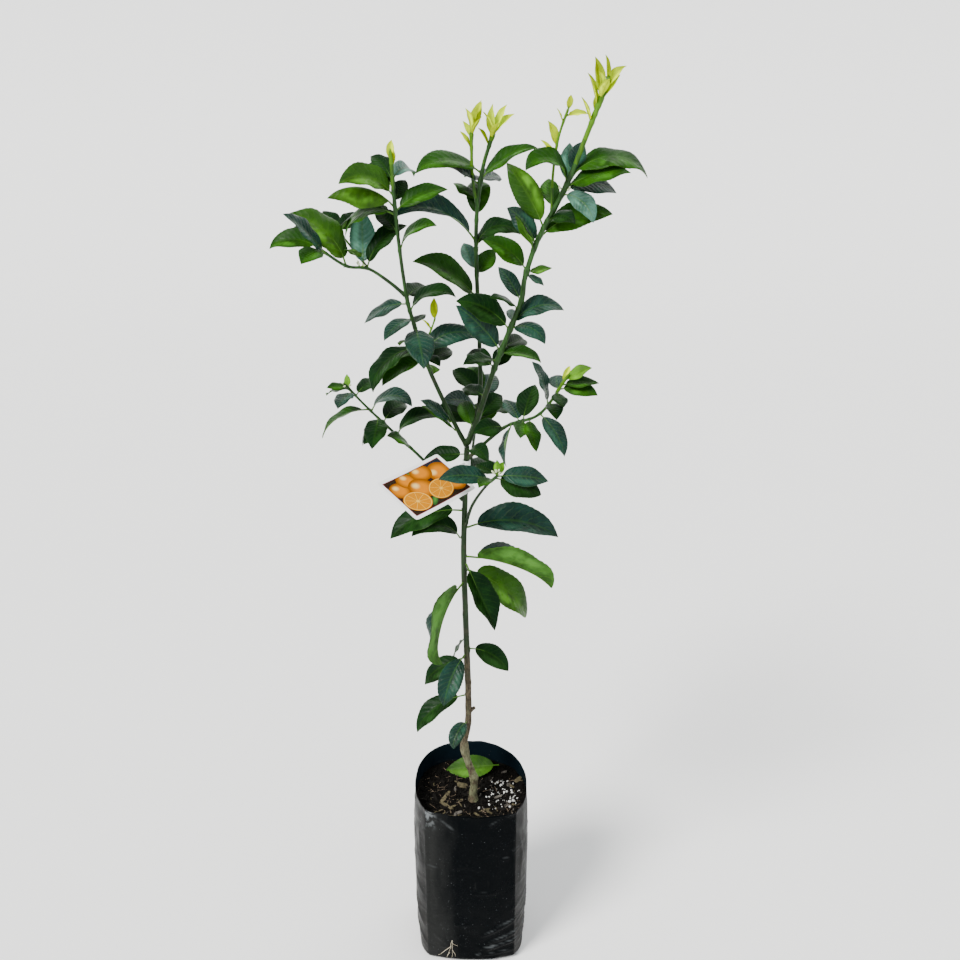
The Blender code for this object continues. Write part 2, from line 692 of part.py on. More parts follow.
def box_between(corners, thick_run, group, name):
    """A flat plate over four corners, with half its thickness to each side."""
    cage = bmesh.new()
    low = [cage.verts.new(corner - thick_run) for corner in corners]
    high = [cage.verts.new(corner + thick_run) for corner in corners]
    cage.faces.new(low[::-1])
    cage.faces.new(high)
    for k in range(4):
        cage.faces.new((low[k], low[(k + 1) % 4], high[(k + 1) % 4], high[k]))
    bmesh.ops.recalc_face_normals(cage, faces=cage.faces)
    mesh = bpy.data.meshes.new(name)
    cage.to_mesh(mesh)
    cage.free()
    return new_object(name, mesh, group, "tag")


def tag_axes():
    """The tag's long and short edge directions, square to each other, and its face's normal."""
    long_run = TAG_LONG_RUN.normalized()
    short_run = (TAG_SHORT_RUN - long_run * TAG_SHORT_RUN.dot(long_run)).normalized()
    return long_run, short_run, long_run.cross(short_run).normalized()


def make_tag(group, trunk):
    """The plastic tag: a card, a strap and a loop round the trunk, fused."""
    long_run, short_run, normal = tag_axes()
    l = long_run * TAG_LONG / 2
    s = short_run * TAG_SHORT / 2
    corners = [TAG_CENTRE - l - s, TAG_CENTRE + l - s, TAG_CENTRE + l + s, TAG_CENTRE - l + s]
    card = box_between(corners, normal * TAG_THICK / 2, group, "plant_tag")
    level = TAG_LOOP_HEIGHT + MIX_HEIGHT
    place = next(place for place in map(trunk.at, range(int(trunk.length))) if place.point.z > level)
    hole = place.radius + TAG_LOOP_SLACK
    loop = ring_at(place.point, place.run, hole, hole + TAG_LOOP_WALL, TAG_LOOP_TALL / 2, group)
    end = TAG_CENTRE + l - long_run * TAG_STRAP_OVERLAP
    toward = end - place.point
    toward = (toward - place.run * toward.dot(place.run)).normalized()
    start = place.point + toward * (hole + TAG_LOOP_WALL * 0.5)
    rings = []
    for k in range(TAG_STRAP_STEPS + 1):
        share = k / TAG_STRAP_STEPS
        middle = start.lerp(end, share)
        wide = (-place.run).slerp(short_run, share)
        flat = wide.cross(end - start).normalized()
        wide = wide.normalized() * TAG_STRAP_WIDE / 2
        thick = flat * TAG_STRAP_THICK / 2
        rings.append([middle - wide - thick, middle + wide - thick, middle + wide + thick,
                      middle - wide + thick])
    cage = loft(rings, True, True)
    bmesh.ops.recalc_face_normals(cage, faces=cage.faces)
    mesh = bpy.data.meshes.new("strap")
    cage.to_mesh(mesh)
    cage.free()
    strap = new_object("strap", mesh, group, "tag")
    fuse(card, [loop, strap], "plant_tag")
    return card


def ring_at(point, run, inner, outer, half, group):
    """A short open tube round a stem."""
    cage = bmesh.new()
    sides = 16
    frame = Matrix.Translation(point) @ run.to_track_quat("Z", "Y").to_matrix().to_4x4()
    rows = []
    for radius, z in ((inner, -half), (outer, -half), (outer, half), (inner, half)):
        rows.append([cage.verts.new(frame @ Vector((radius * math.cos(math.tau * k / sides),
                                                    radius * math.sin(math.tau * k / sides), z)))
                     for k in range(sides)])
    for low, high in zip(rows, rows[1:] + rows[:1]):
        for k in range(sides):
            n = (k + 1) % sides
            cage.faces.new((low[k], low[n], high[n], high[k]))
    bmesh.ops.recalc_face_normals(cage, faces=cage.faces)
    mesh = bpy.data.meshes.new("loop")
    cage.to_mesh(mesh)
    cage.free()
    return new_object("loop", mesh, group, "tag")


def make_limbs(paths, group, cutter_group, plant):
    """The trunk and boughs, each cut to the stems that it grows from."""
    made = []
    for name, shoot, start, end in LIMBS:
        path = paths[shoot]
        end = path.length if end is None else end
        places = path.stretch(start, end)
        sides = TRUNK_SIDES if name == "trunk" else LIMB_SIDES
        piece = tube(name, places, sides, group, "bark" if name == "trunk" else "bough")
        plant.add(name, piece.data)
        if name != "trunk":
            seat_on(piece, [cutter for other, cutter in made if near(shoot, other)])
        cutter = tube("cut_" + name, path.stretch(start, path.length), sides, cutter_group, "bough", GAP)
        cutter.hide_render = True
        cutter.display_type = "WIRE"
        made.append((shoot, cutter))
    return made


def near(shoot, other):
    """Whether a shoot's foot lies against another shoot."""
    fork = ("trunk", "centre", "left", "right")
    if shoot in fork and other in fork:
        return True
    roots = {"low_left": "trunk", "low_right": "trunk", "front": "trunk", "back": "trunk",
             "far_left": "left"}
    return roots.get(shoot) == other


def make_masses(paths, group, plant):
    """Each leafy mass: a stem, its side twigs and the leaves that find room on them."""
    stems = []
    for name, stretches in MASSES:
        parts = []
        for k, (shoot, start, end) in enumerate(stretches):
            path = paths[shoot]
            first = start + GAP / MM if k == 0 else start
            places = path.stretch(first, end)
            parts.append(tube(name if k == 0 else "twig", places, STEM_SIDES, group, "leaf"))
        for part in parts:
            plant.add(name, part.data)
        stems.append((name, stretches, parts))
    for name, stretches, parts in stems:
        leaves = []
        for shoot, start, end in stretches:
            for row in rows_in(shoot, start, end):
                place_leaf(plant, paths[shoot], row, name, leaves)
        blades = [new_object("blade", leaf_mesh(leaf), group, "leaf") for leaf in leaves]
        fuse(parts[0], parts[1:] + blades, name)


def place_leaf(plant, path, row, own, into, seat=False):
    leaf = leaf_on(path, row, f"{path.name} {row[0]:.0f} {row[1]:.0f}", seat)
    leaf = plant.settle(leaf, "" if seat else own)
    if leaf:
        into.append(leaf)


def main():
    clear_scene()
    group = bpy.data.collections.new("potted_honey_murcott_mandarin")
    cutter_group = bpy.data.collections.new("cutters")
    bpy.context.scene.collection.children.link(group)
    bpy.context.scene.collection.children.link(cutter_group)
    paths = {name: Path(name) for name in SHOOTS}
    plant = Plant()
    make_bag(group)
    mix = make_mix(group)
    plant.add("potting_mix", mix.data)
    make_limbs(paths, group, cutter_group, plant)
    tag = make_tag(group, paths["trunk"])
    plant.add("plant_tag", tag.data)
    single = []
    for name, shoot, start, end in LIMBS:
        for row in rows_in(shoot, start, end):
            if end is None or row[0] < end:
                place_leaf(plant, paths[shoot], row, name, single, seat=True)
    for k, leaf in enumerate(single):
        new_object(f"stem_leaf_{k + 1:02d}", leaf_mesh(leaf), group, "leaf")
    make_masses(paths, group, plant)
    make_dropped_leaf(group, plant)


def make_dropped_leaf(group, plant):
    """The leaf that lies on the mix and leans on the back wall, let down until it rests."""
    turn, rise, length, droop = DROPPED_LEAF
    dropped = Leaf(DROPPED_LEAF_FOOT, turn, rise, length * MM, droop, DROPPED_LEAF_LEAN,
                   blade_wide(length * MM), LEAF_FOLD / 2, 0)
    mesh = leaf_mesh(dropped)
    mix = next(tree for node, tree in plant.skins if node == "potting_mix")
    drops = [mix.ray_cast(vertex.co, Vector((0, 0, -1)))[3] for vertex in mesh.vertices]
    fall = min(drop for drop in drops if drop is not None) - GAP
    mesh.transform(Matrix.Translation((0, 0, -fall)))
    new_object("dropped_leaf", mesh, group, "young")


main()
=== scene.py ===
"""The looks of a young mandarin tree in a black planter bag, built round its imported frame.

X runs right, Y runs away from the viewer and Z runs up, in metres. Sizes read from the plant are in
millimetres, and MM turns them into metres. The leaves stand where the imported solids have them,
because the same rows, seeds and clearances place them here, and OPENED names those that then lie
another way or are drawn wider or longer.
"""

import functools
import math
import random
from typing import NamedTuple

import bmesh
import bpy
from bpy.props import FloatProperty, FloatVectorProperty, IntProperty, PointerProperty
from mathutils import Euler, Matrix, Vector, noise
from mathutils.bvhtree import BVHTree


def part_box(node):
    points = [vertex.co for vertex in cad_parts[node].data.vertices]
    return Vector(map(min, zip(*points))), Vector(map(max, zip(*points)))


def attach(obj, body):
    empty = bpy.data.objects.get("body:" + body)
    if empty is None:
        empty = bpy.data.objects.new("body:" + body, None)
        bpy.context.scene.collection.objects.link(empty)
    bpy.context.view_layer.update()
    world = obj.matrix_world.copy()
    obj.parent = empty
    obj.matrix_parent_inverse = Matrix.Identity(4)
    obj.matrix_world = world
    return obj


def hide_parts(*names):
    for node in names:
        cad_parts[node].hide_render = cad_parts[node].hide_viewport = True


bl_info = {
    "name": "Potted Mandarin Tree",
    "version": (1, 0, 0),
    "blender": (4, 5, 0),
    "location": "View3D > Sidebar > Mandarin",
    "description": "Builds a young mandarin tree with its planter bag, potting mix and tag",
    "category": "Add Mesh",
}

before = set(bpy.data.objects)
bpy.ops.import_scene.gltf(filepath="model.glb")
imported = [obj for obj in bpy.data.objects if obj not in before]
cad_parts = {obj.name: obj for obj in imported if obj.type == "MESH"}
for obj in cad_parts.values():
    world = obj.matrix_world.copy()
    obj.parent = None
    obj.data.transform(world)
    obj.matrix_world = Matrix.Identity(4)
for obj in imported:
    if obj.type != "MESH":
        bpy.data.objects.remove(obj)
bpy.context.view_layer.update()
BODY = "root"

MM = 0.001
GAP = 0.3 * MM

# The planter bag, as the frame has it
BAG_FOOT_HALF = 75 * MM
BAG_MOUTH_HALF = 78 * MM
BAG_BELLY = 5 * MM
BAG_FOOT_SQUARENESS = 3.4
BAG_MOUTH_SQUARENESS = 2.3
BAG_FRONT_DEPTH = 66 * MM
BAG_FRONT_BOW = 13 * MM
BAG_CREASE = 62 * MM
BAG_HEIGHT = 272 * MM
BAG_RIM_WAVE = 5 * MM
BAG_BACK_RISE = 6 * MM
BAG_FOOT_TUCK = 0.1
BAG_TUCK_LEVEL = 0.035
FRONT_STEPS = 64
BACK_STEPS = 160
BAG_RINGS = 110

# The potting mix
MIX_HEIGHT = 241 * MM
GROUND = Vector((0, 0, MIX_HEIGHT))
MIX_RISE_AT_WALL = 9 * MM
MIX_EDGE_INSET = 1.5 * MM
MIX_FLAT_RADIUS = 12 * MM
MIX_STEPS = 120
MIX_TOP_SHARE = 0.886
MIX_SKIRT = 60 * MM
TRUNK_FOOT_RIGHT = 3 * MM
TRUNK_CLEARANCE = 9 * MM

# The tag
TAG_CENTRE = Vector((-49, -64, 512)) * MM + GROUND
TAG_LONG = 99 * MM
TAG_SHORT = 68 * MM
TAG_THICK = 0.5 * MM
TAG_CORNER = 3.2 * MM
TAG_LONG_RUN = Vector((0.67, 0.74, 0.08))
TAG_SHORT_RUN = Vector((0.70, -0.59, -0.41))
TAG_STRAP_WIDE = 8 * MM
TAG_LOOP_HEIGHT = 513 * MM
TAG_LOOP_SLACK = 1.0 * MM
TAG_LOOP_TALL = 11 * MM
TAG_ASPECT = TAG_LONG / TAG_SHORT

DROPPED_LEAF_FOOT = Vector((41, 53, 22)) * MM + GROUND
DROPPED_LEAF = (178, -4, 80, 8)
DROPPED_LEAF_LEAN = -40

# How the frame's rule shapes and places a leaf
LEAF_WIDTH = 0.49
BLADE_SKEW = 0.86
BLADE_FOOT_ROUND = 0.85
BLADE_TIP_DRAWN = 1.3
LEAF_SLIMMING = 1.6
LEAF_PETIOLE = 0.11
LEAF_THICK = 1 / 62
LEAF_LEAST_THICK = 1.0 * MM
PETIOLE_RADIUS = 0.75 * MM
LEAF_FOLD = 16
LEAF_LEAN = 36
LEAF_STATIONS = (0.0, 0.2, 0.46, 0.76)
LONG_LEAF_STATIONS = (0.0, 0.14, 0.36, 0.6, 0.83)
LONG_LEAF_DROOP = 65
LEAF_CLEARANCE = 0.9 * MM
SWINGS = (0, 12, -12, 24, -24, 36, -36)
LIFTS = (0, 14, -14, 26)

# How much wider a leaf's soft blade is than its solid and how full its ends are, then the leaves that
# differ more: in spread, fullness and length (m), or in turn, rise, droop, lean and fold (degrees)
BLADE_SPREAD = 1.15
YOUNG_SPREAD = 0.92
BLADE_FULLNESS = 0.72
OPENED = {
    "trunk 353 240": dict(spread=2.0, fullness=0.5, lean=57, fold=44),
    "trunk 390 350": dict(spread=1.9, fullness=0.5, lean=-20, fold=48, rise=2, droop=44),
    "trunk 253 355": dict(spread=1.35, fullness=0.65, rise=2, droop=60),
    "trunk 370 10": dict(spread=1.2, fullness=0.55, rise=-24),
    "trunk 380 320": dict(spread=1.2, turn=308, rise=-50),
    "trunk 180 190": dict(spread=1.1, rise=-5),
    "trunk 505 50": dict(spread=1.4, fullness=0.6, length=62 * MM),
    "front 119 350": dict(spread=1.4, fullness=0.6, rise=-8),
    "trunk 528 120": dict(spread=1.4, fullness=0.6, turn=172, rise=-4, length=52 * MM),
    "left 136 195": dict(spread=1.1, rise=5),
    "far_left 80 205": dict(spread=1.4, fullness=0.6, turn=184, rise=80, droop=78,
                            lean=-36, length=92 * MM),
    "low_left 162 190": dict(spread=1.1, rise=4),
    "low_right 85 240": dict(spread=1.6),
    "centre 178 205": dict(spread=1.15, rise=53, droop=40),
    "right 124 335": dict(rise=20),
    "right 160 355": dict(rise=64),
    "right 265 355": dict(rise=48),
    "right 277 167": dict(spread=0.98),
}

# Kinds of leaf colour: one mature green with painted shade, painted light and painted sunlight, greens with a
# painted reflection of the sky, and the colours of young leaves
PAINTED_SHADE_GREEN = "deep"
PAINTED_LIGHT_GREEN = "mid"
PAINTED_SUNLIGHT_GREEN = "bright"
TEAL_PAINTED_SKY = "teal"
PALE_PAINTED_SKY = "sky"
LIME = "lime"
PALE = "pale"

# The greens of leaves whose rows name none, dealt out by seed: mostly painted shade, some painted light and
# some painted sky reflection
TONES = (PAINTED_SHADE_GREEN, PAINTED_SHADE_GREEN, PAINTED_SHADE_GREEN, PAINTED_LIGHT_GREEN, PAINTED_LIGHT_GREEN, TEAL_PAINTED_SKY)


class Shoot(NamedTuple):
    """A stem from foot to tip: points it runs through (right, away, up) and its end radii, in mm."""

    way: tuple
    foot: float
    tip: float


SHOOTS = {
    "trunk": Shoot(((3, 0, 0.3), (3, 0, 12), (4, 0, 37), (-9, 0, 91), (-3, 0, 146), (-6, 0, 295),
                    (-8, 0, 385), (-6, 0, 465), (-3, 0, 543)), 5.2, 3.4),
    "centre": Shoot(((-3, 0, 540), (12, 22, 587), (12, 38, 655), (8, 50, 775), (14, 53, 847),
                     (28, 55, 895)), 3.0, 2.3),
    "centre_twin": Shoot(((9, 52, 815), (4, 50, 847), (3, 47, 897)), 2.1, 1.8),
    "left": Shoot(((-3, 0, 537), (-19, -2, 570), (-49, -5, 641), (-63, -8, 690), (-71, -10, 725),
                   (-79, -14, 805), (-83, -18, 883)), 3.0, 1.9),
    "left_side": Shoot(((-56, -6, 668), (-46, -4, 678), (-38, -2, 698)), 1.4, 1.0),
    "far_left": Shoot(((-71, -10, 723), (-89, -8, 738), (-113, -5, 753), (-136, -20, 759),
                       (-163, -35, 781)), 2.2, 1.6),
    "far_left_rise": Shoot(((-113, -5, 753), (-125, 5, 766), (-150, 28, 791)), 1.6, 1.2),
    "right": Shoot(((-3, 0, 539), (7, -2, 565), (31, -8, 642), (58, -14, 714), (63, -15, 745),
                    (77, -20, 789), (105, -28, 846), (126, -32, 902), (145, -35, 955)), 3.6, 2.6),
    "right_side": Shoot(((90, -24, 819), (91, -22, 860), (96, -20, 895), (106, -18, 925)), 1.8, 1.3),
    "low_left": Shoot(((-8, 0, 466), (-59, 20, 513), (-122, 32, 572), (-154, 34, 607)), 2.5, 1.4),
    "low_right": Shoot(((-4, 0, 520), (42, -28, 572), (82, -45, 595), (113, -58, 647)), 2.5, 1.5),
    "front": Shoot(((-5, 0, 433), (3, -22, 468), (18, -50, 504), (33, -72, 529)), 2.3, 1.5),
    "back": Shoot(((-5, 0, 475), (2, 35, 510), (8, 62, 547), (16, 92, 597)), 2.3, 1.3),
}

TRUNK_STEP = 11 * MM
PATH_STEP = 14 * MM
TAPER = 0.6
FLARE = 0.42
FLARE_HEIGHT = 9
UNION_KNOB = 0.34
UNION_PLACE = 88
UNION_SPREAD = 12
FOOT_KNOB = 0.22
FOOT_PLACE = 38
FOOT_SPREAD = 9

END = None
LIMBS = (
    ("trunk", "trunk", 0, END),
    ("centre_bough", "centre", 0, 150),
    ("left_bough", "left", 0, 105),
    ("right_bough", "right", 0, 92),
    ("low_left_bough", "low_left", 0, 80),
    ("low_right_bough", "low_right", 0, 65),
    ("front_bough", "front", 0, 104),
    ("back_bough", "back", 0, 72),
    ("far_left_bough", "far_left", 0, 34),
)
MASSES = (
    ("centre_foliage", (("centre", 150, END), ("centre_twin", 0, END))),
    ("left_middle_foliage", (("left", 105, 222), ("left_side", 0, END))),
    ("left_crown_foliage", (("left", 222, END),)),
    ("far_left_foliage", (("far_left", 34, END), ("far_left_rise", 0, END))),
    ("right_middle_foliage", (("right", 92, 205),)),
    ("right_crown_foliage", (("right", 205, 290),)),
    ("right_top_foliage", (("right", 290, END), ("right_side", 0, END))),
    ("low_left_foliage", (("low_left", 80, END),)),
    ("low_right_foliage", (("low_right", 65, END),)),
    ("front_foliage", (("front", 104, END),)),
    ("back_foliage", (("back", 72, END),)),
)

# Leaves as they stand on each shoot: mm from its foot, compass turn (0 right, 90 away, 180 left,
# 270 toward the viewer), rise at the foot, length in mm and bend to the tip, then, where a leaf
# shows them, its roll about its own midrib, its fold along it and its green, which on mature leaves is
# painted light, shade or sky reflection
LEAVES = {
    "trunk": (
        (454, 184, 8, 100, 55, PAINTED_SHADE_GREEN), (431, 355, 26, 122, 65, 34, 34, TEAL_PAINTED_SKY), (416, 190, 66, 75, 112, PAINTED_SHADE_GREEN),
        (390, 350, 6, 120, 64, -20, 50, TEAL_PAINTED_SKY), (370, 10, -20, 120, 40, PAINTED_SUNLIGHT_GREEN),
        (380, 320, -45, 92, 10, 10, 36, PAINTED_SHADE_GREEN), (353, 240, -8, 120, 92, 40, 50, TEAL_PAINTED_SKY),
        (266, 135, -60, 42, 10, PAINTED_SHADE_GREEN), (253, 355, -6, 62, 52, PAINTED_SHADE_GREEN), (245, 230, -25, 75, 50, TEAL_PAINTED_SKY),
        (238, 175, 0, 68, 65, PAINTED_SHADE_GREEN), (180, 190, 0, 88, 58, -20, PAINTED_SHADE_GREEN), (138, 245, 30, 52, 120, TEAL_PAINTED_SKY),
        (535, 320, 55, 50, 80, PAINTED_SHADE_GREEN), (528, 120, 10, 45, 10, PAINTED_SHADE_GREEN), (505, 50, 10, 50, 30, PAINTED_SHADE_GREEN),
    ),
    "left": (
        (38, 210, 50, 50, 15), (26, 235, 50, 55, 15), (115, 75, -20, 45, 20), (116, 45, 30, 50, 50, PAINTED_SHADE_GREEN),
        (120, 190, -5, 60, 40, PAINTED_LIGHT_GREEN), (127, 20, 62, 75, 95, TEAL_PAINTED_SKY), (124, 320, 20, 30, 60, PAINTED_SHADE_GREEN),
        (131, 155, -5, 65, 50, PAINTED_LIGHT_GREEN), (136, 195, 12, 85, 86, -12, PAINTED_SHADE_GREEN), (146, 125, -5, 50, 30),
        (160, 280, 0, 72, 50, TEAL_PAINTED_SKY), (165, 75, 15, 32, 10, PAINTED_SHADE_GREEN), (172, 240, 10, 55, 50, TEAL_PAINTED_SKY),
        (181, 345, 70, 66, 100, PAINTED_SHADE_GREEN), (190, 170, 0, 60, 50, TEAL_PAINTED_SKY), (197, 70, 20, 50, 30),
        (250, 335, 80, 60, 90, PAINTED_LIGHT_GREEN), (270, 120, 35, 50, 20, PAINTED_SHADE_GREEN), (290, 170, 30, 80, 110, PAINTED_LIGHT_GREEN),
        (294, 10, 45, 65, 50, PAINTED_LIGHT_GREEN), (298, 190, 54, 82, 88, -34, -34, PAINTED_SUNLIGHT_GREEN), (303, 75, 40, 38, 10),
        (310, 200, 58, 70, 85, -48, PAINTED_SUNLIGHT_GREEN), (327, 50, 60, 48, 120, PALE_PAINTED_SKY), (319, 140, 50, 55, 60),
        (325, 125, 55, 50, 50, PAINTED_SHADE_GREEN), (340, 80, 75, 20, 0), (346, 100, 80, 24, 0),
    ),
    "left_side": (
        (31, 90, 86, 26, 10), (20, 200, 55, 16, 10),
    ),
    "far_left": (
        (54, 355, 75, 70, 60, PAINTED_SHADE_GREEN), (58, 95, 65, 66, -15, PALE_PAINTED_SKY), (80, 205, 60, 78, 45, PAINTED_SUNLIGHT_GREEN),
        (108, 220, 48, 72, 10, -55, TEAL_PAINTED_SKY), (114, 250, 10, 50, 30, PAINTED_LIGHT_GREEN), (118, 190, 40, 60, 80, PAINTED_LIGHT_GREEN),
        (120, 145, 45, 55, 60),
    ),
    "far_left_rise": (
        (15, 250, 35, 40, 20), (56, 300, 60, 35, 50), (60, 120, 40, 40, 20), (60, 60, 30, 40, 10),
    ),
    "low_left": (
        (92, 220, 62, 42, 50), (115, 355, 70, 70, 100, 20, PAINTED_SHADE_GREEN), (132, 240, 5, 45, 40, PAINTED_SHADE_GREEN),
        (138, 60, 40, 55, 60, PAINTED_SHADE_GREEN), (141, 160, -30, 50, 40), (147, 275, 0, 60, 40, 0, PAINTED_SHADE_GREEN),
        (158, 350, 70, 68, 112, 18, TEAL_PAINTED_SKY), (162, 190, 10, 75, 70, 0, PAINTED_LIGHT_GREEN), (185, 50, 40, 50, 60, 15),
        (191, 250, 10, 46, 35, TEAL_PAINTED_SKY), (196, 140, -5, 45, 30), (200, 215, 20, 28, 20),
        (198, 150, 60, 18, 0, PALE),
    ),
    "centre": (
        (178, 205, 58, 101, 48, -52, 24, PAINTED_LIGHT_GREEN), (205, 55, 40, 45, 10, PAINTED_LIGHT_GREEN), (210, 120, 40, 45, 0, PALE_PAINTED_SKY),
        (235, 345, 85, 70, 130, PAINTED_SHADE_GREEN), (245, 200, 57, 120, 75, -32, 34, TEAL_PAINTED_SKY),
        (268, 80, 84, 76, 100, 0, 8, PAINTED_LIGHT_GREEN), (290, 115, 20, 45, 20), (308, 190, 45, 55, 40, TEAL_PAINTED_SKY),
        (311, 110, 15, 40, 20), (315, 355, 50, 75, 40, PAINTED_LIGHT_GREEN), (313, 70, 5, 55, 10),
        (321, 170, 40, 86, 72, PAINTED_LIGHT_GREEN), (352, 200, 60, 24, 10), (362, 115, 70, 28, 0), (359, 295, 55, 26, 15),
        (363, 345, 55, 34, 20), (366, 20, 65, 34, 0), (367, 230, 60, 30, 20), (371, 70, 80, 30, 0),
    ),
    "centre_twin": (
        (64, 190, 60, 22, 10), (74, 135, 75, 22, 10), (77, 320, 60, 26, 10), (78, 240, 80, 30, 10),
        (80, 30, 70, 36, 10), (82, 350, 72, 34, 0),
    ),
    "right": (
        (35, 60, 40, 50, 30), (22, 115, 45, 50, 40), (66, 120, 10, 42, 20), (103, 55, 50, 42, 30, PAINTED_SHADE_GREEN),
        (105, 135, 25, 55, 40), (114, 215, 25, 50, 40), (126, 205, 60, 78, 25, -75, TEAL_PAINTED_SKY),
        (124, 335, 15, 52, 50, PAINTED_LIGHT_GREEN), (128, 75, 5, 50, 10), (131, 45, 15, 50, 30),
        (154, 190, 58, 74, 55, PAINTED_SHADE_GREEN), (156, 322, 35, 54, 95, TEAL_PAINTED_SKY), (160, 355, 59, 70, 95, TEAL_PAINTED_SKY),
        (163, 95, 20, 34, 10), (180, 220, 53, 46, 50, PAINTED_SHADE_GREEN), (190, 152, 64, 48, 30, TEAL_PAINTED_SKY),
        (222, 330, -22, 24, 10, TEAL_PAINTED_SKY), (225, 350, 10, 28, 0, PAINTED_SUNLIGHT_GREEN), (226, 190, 60, 62, 50, PAINTED_LIGHT_GREEN),
        (251, 230, 55, 55, 10), (256, 160, 75, 55, 60, -75, TEAL_PAINTED_SKY), (265, 355, 42, 90, 62, PAINTED_LIGHT_GREEN),
        (277, 167, 68, 80, 22, -85, PAINTED_SUNLIGHT_GREEN), (285, 335, 40, 45, 70, PAINTED_SHADE_GREEN), (300, 105, 40, 50, 10),
        (318, 325, 6, 52, 78, 35, PALE_PAINTED_SKY), (322, 10, 28, 66, 64, TEAL_PAINTED_SKY), (330, 185, 88, 66, 140, PAINTED_LIGHT_GREEN),
        (326, 345, 35, 72, 40, PAINTED_LIGHT_GREEN), (330, 75, 70, 45, 10, PALE_PAINTED_SKY), (338, 5, 50, 98, 100, PAINTED_LIGHT_GREEN),
        (342, 60, 60, 38, 10, TEAL_PAINTED_SKY), (396, 205, 65, 28, 0), (405, 50, 65, 24, 10),
        (413, 215, 70, 36, 10, -60), (416, 350, 72, 36, 15), (420, 285, 55, 28, 15), (422, 130, 78, 40, 0),
        (427, 250, 60, 26, 10), (431, 15, 55, 32, 20), (440, 180, 84, 24, 0),
    ),
    "right_side": (
        (52, 205, 75, 26, 10), (66, 150, 75, 28, 10), (92, 200, 60, 16, 0), (98, 10, 15, 26, 20),
        (104, 60, 60, 18, 0),
    ),
    "low_right": (
        (74, 225, 25, 48, 40, -50), (85, 240, -45, 52, 40, 60, TEAL_PAINTED_SKY), (95, 105, 25, 45, 10),
        (100, 75, 40, 55, 10, PAINTED_SHADE_GREEN), (101, 255, 0, 40, 20), (109, 250, -15, 47, 40, PAINTED_LIGHT_GREEN),
        (124, 308, -20, 60, 50, TEAL_PAINTED_SKY), (139, 200, 85, 58, 32, TEAL_PAINTED_SKY), (141, 285, 20, 45, 50, PAINTED_SHADE_GREEN),
        (159, 270, 0, 40, 10, PAINTED_SHADE_GREEN), (161, 95, 20, 35, 10), (163, 355, 15, 45, 40, PAINTED_LIGHT_GREEN),
        (169, 15, 15, 42, 20, PAINTED_LIGHT_GREEN), (172, 50, 55, 22, 10), (176, 350, 40, 34, 20, PALE),
    ),
    "front": (
        (113, 195, 25, 65, 38, TEAL_PAINTED_SKY), (116, 230, 15, 34, 20), (119, 350, -20, 58, 20, PAINTED_SHADE_GREEN),
        (124, 355, 8, 62, 30, TEAL_PAINTED_SKY), (125, 65, 40, 20, 10, PALE), (126, 90, 80, 18, 10, PALE),
        (127, 125, 5, 42, 10),
    ),
    "back": (
        (86, 72, 40, 70, 60), (92, 150, 35, 75, 70), (104, 80, 20, 70, 60), (112, 215, 50, 60, 60),
        (122, 62, 45, 60, 50), (128, 100, 55, 60, 50), (131, 125, 40, 55, 50),
    ),
}

# How far up each shoot its leaves turn lime, in mm from its foot
LIME_FROM = {"centre": 350, "centre_twin": 0, "left": 338, "left_side": 0, "right": 385, "right_side": 0,
             "low_right": 171}

# Where each shoot's wood turns lime green, in mm from its foot, and where flower buds stand
YOUNG_FROM = {"centre": 348, "centre_twin": 24, "left": 334, "left_side": 6, "right": 368,
              "right_side": 14, "low_right": 150, "far_left": 118, "far_left_rise": 52}
FLOWER_BUDS = (("front", 128, 12), ("far_left", 62, 5), ("right", 322, 4), ("low_left", 199, 4))


def colour_setting(name, description, *tone):
    """A setting that holds a colour."""
    return FloatVectorProperty(name=name, description=description, default=tone, subtype="COLOR")


def length_setting(name, description, metres):
    """A setting that holds a length."""
    return FloatProperty(name=name, description=description, default=metres, unit="LENGTH")


def count_setting(name, description, number):
    """A setting that holds a count."""
    return IntProperty(name=name, description=description, default=number, min=0)


class LeafSettings(bpy.types.PropertyGroup):
    """Colours and sizes of the leaves and twigs."""

    thickness: length_setting("Thickness", "Thickness of a leaf's blade", 0.42 * MM)
    vein_depth: length_setting("Vein depth", "How far the blade puckers between its veins", 0.16 * MM)
    # deep, mid and bright are one mature green with painted shade, painted light and painted sunlight; teal
    # and sky green carry a painted reflection of the sky
    deep: colour_setting("Deep", "Mature leaves in the shade", 0.005, 0.025, 0.003)
    mid: colour_setting("Mid", "Mature leaves in the light", 0.017, 0.072, 0.002)
    bright: colour_setting("Bright", "Leaves that the sun lights up", 0.036, 0.11, 0.004)
    teal: colour_setting("Teal", "Glossy leaves that reflect the sky", 0.006, 0.034, 0.022)
    sky: colour_setting("Sky green", "Leaves that face the sky", 0.055, 0.155, 0.11)
    lime: colour_setting("Lime", "Young leaves at the tips", 0.6, 0.74, 0.0)
    pale: colour_setting("Pale", "Leaves just below the tips", 0.1, 0.26, 0.01)
    under: colour_setting("Underside", "A mature leaf's underside", 0.045, 0.13, 0.008)
    rib: colour_setting("Rib", "Midribs and veins", 0.06, 0.15, 0.014)
    green_wood: colour_setting("Green wood", "Twigs and the upper trunk", 0.008, 0.026, 0.0045)
    young_wood: colour_setting("Young wood", "The newest twigs", 0.075, 0.19, 0.004)


class BarkSettings(bpy.types.PropertyGroup):
    """Colours and relief of the bark."""

    relief: length_setting("Relief", "Depth of the bark's fissures near the ground", 0.5 * MM)
    pale: colour_setting("Pale bark", "Patches at the trunk's foot", 0.15, 0.155, 0.085)
    brown: colour_setting("Brown bark", "Older bark", 0.07, 0.055, 0.034)
    green_height: length_setting("Green height", "Height at which the bark turns green", 0.47)


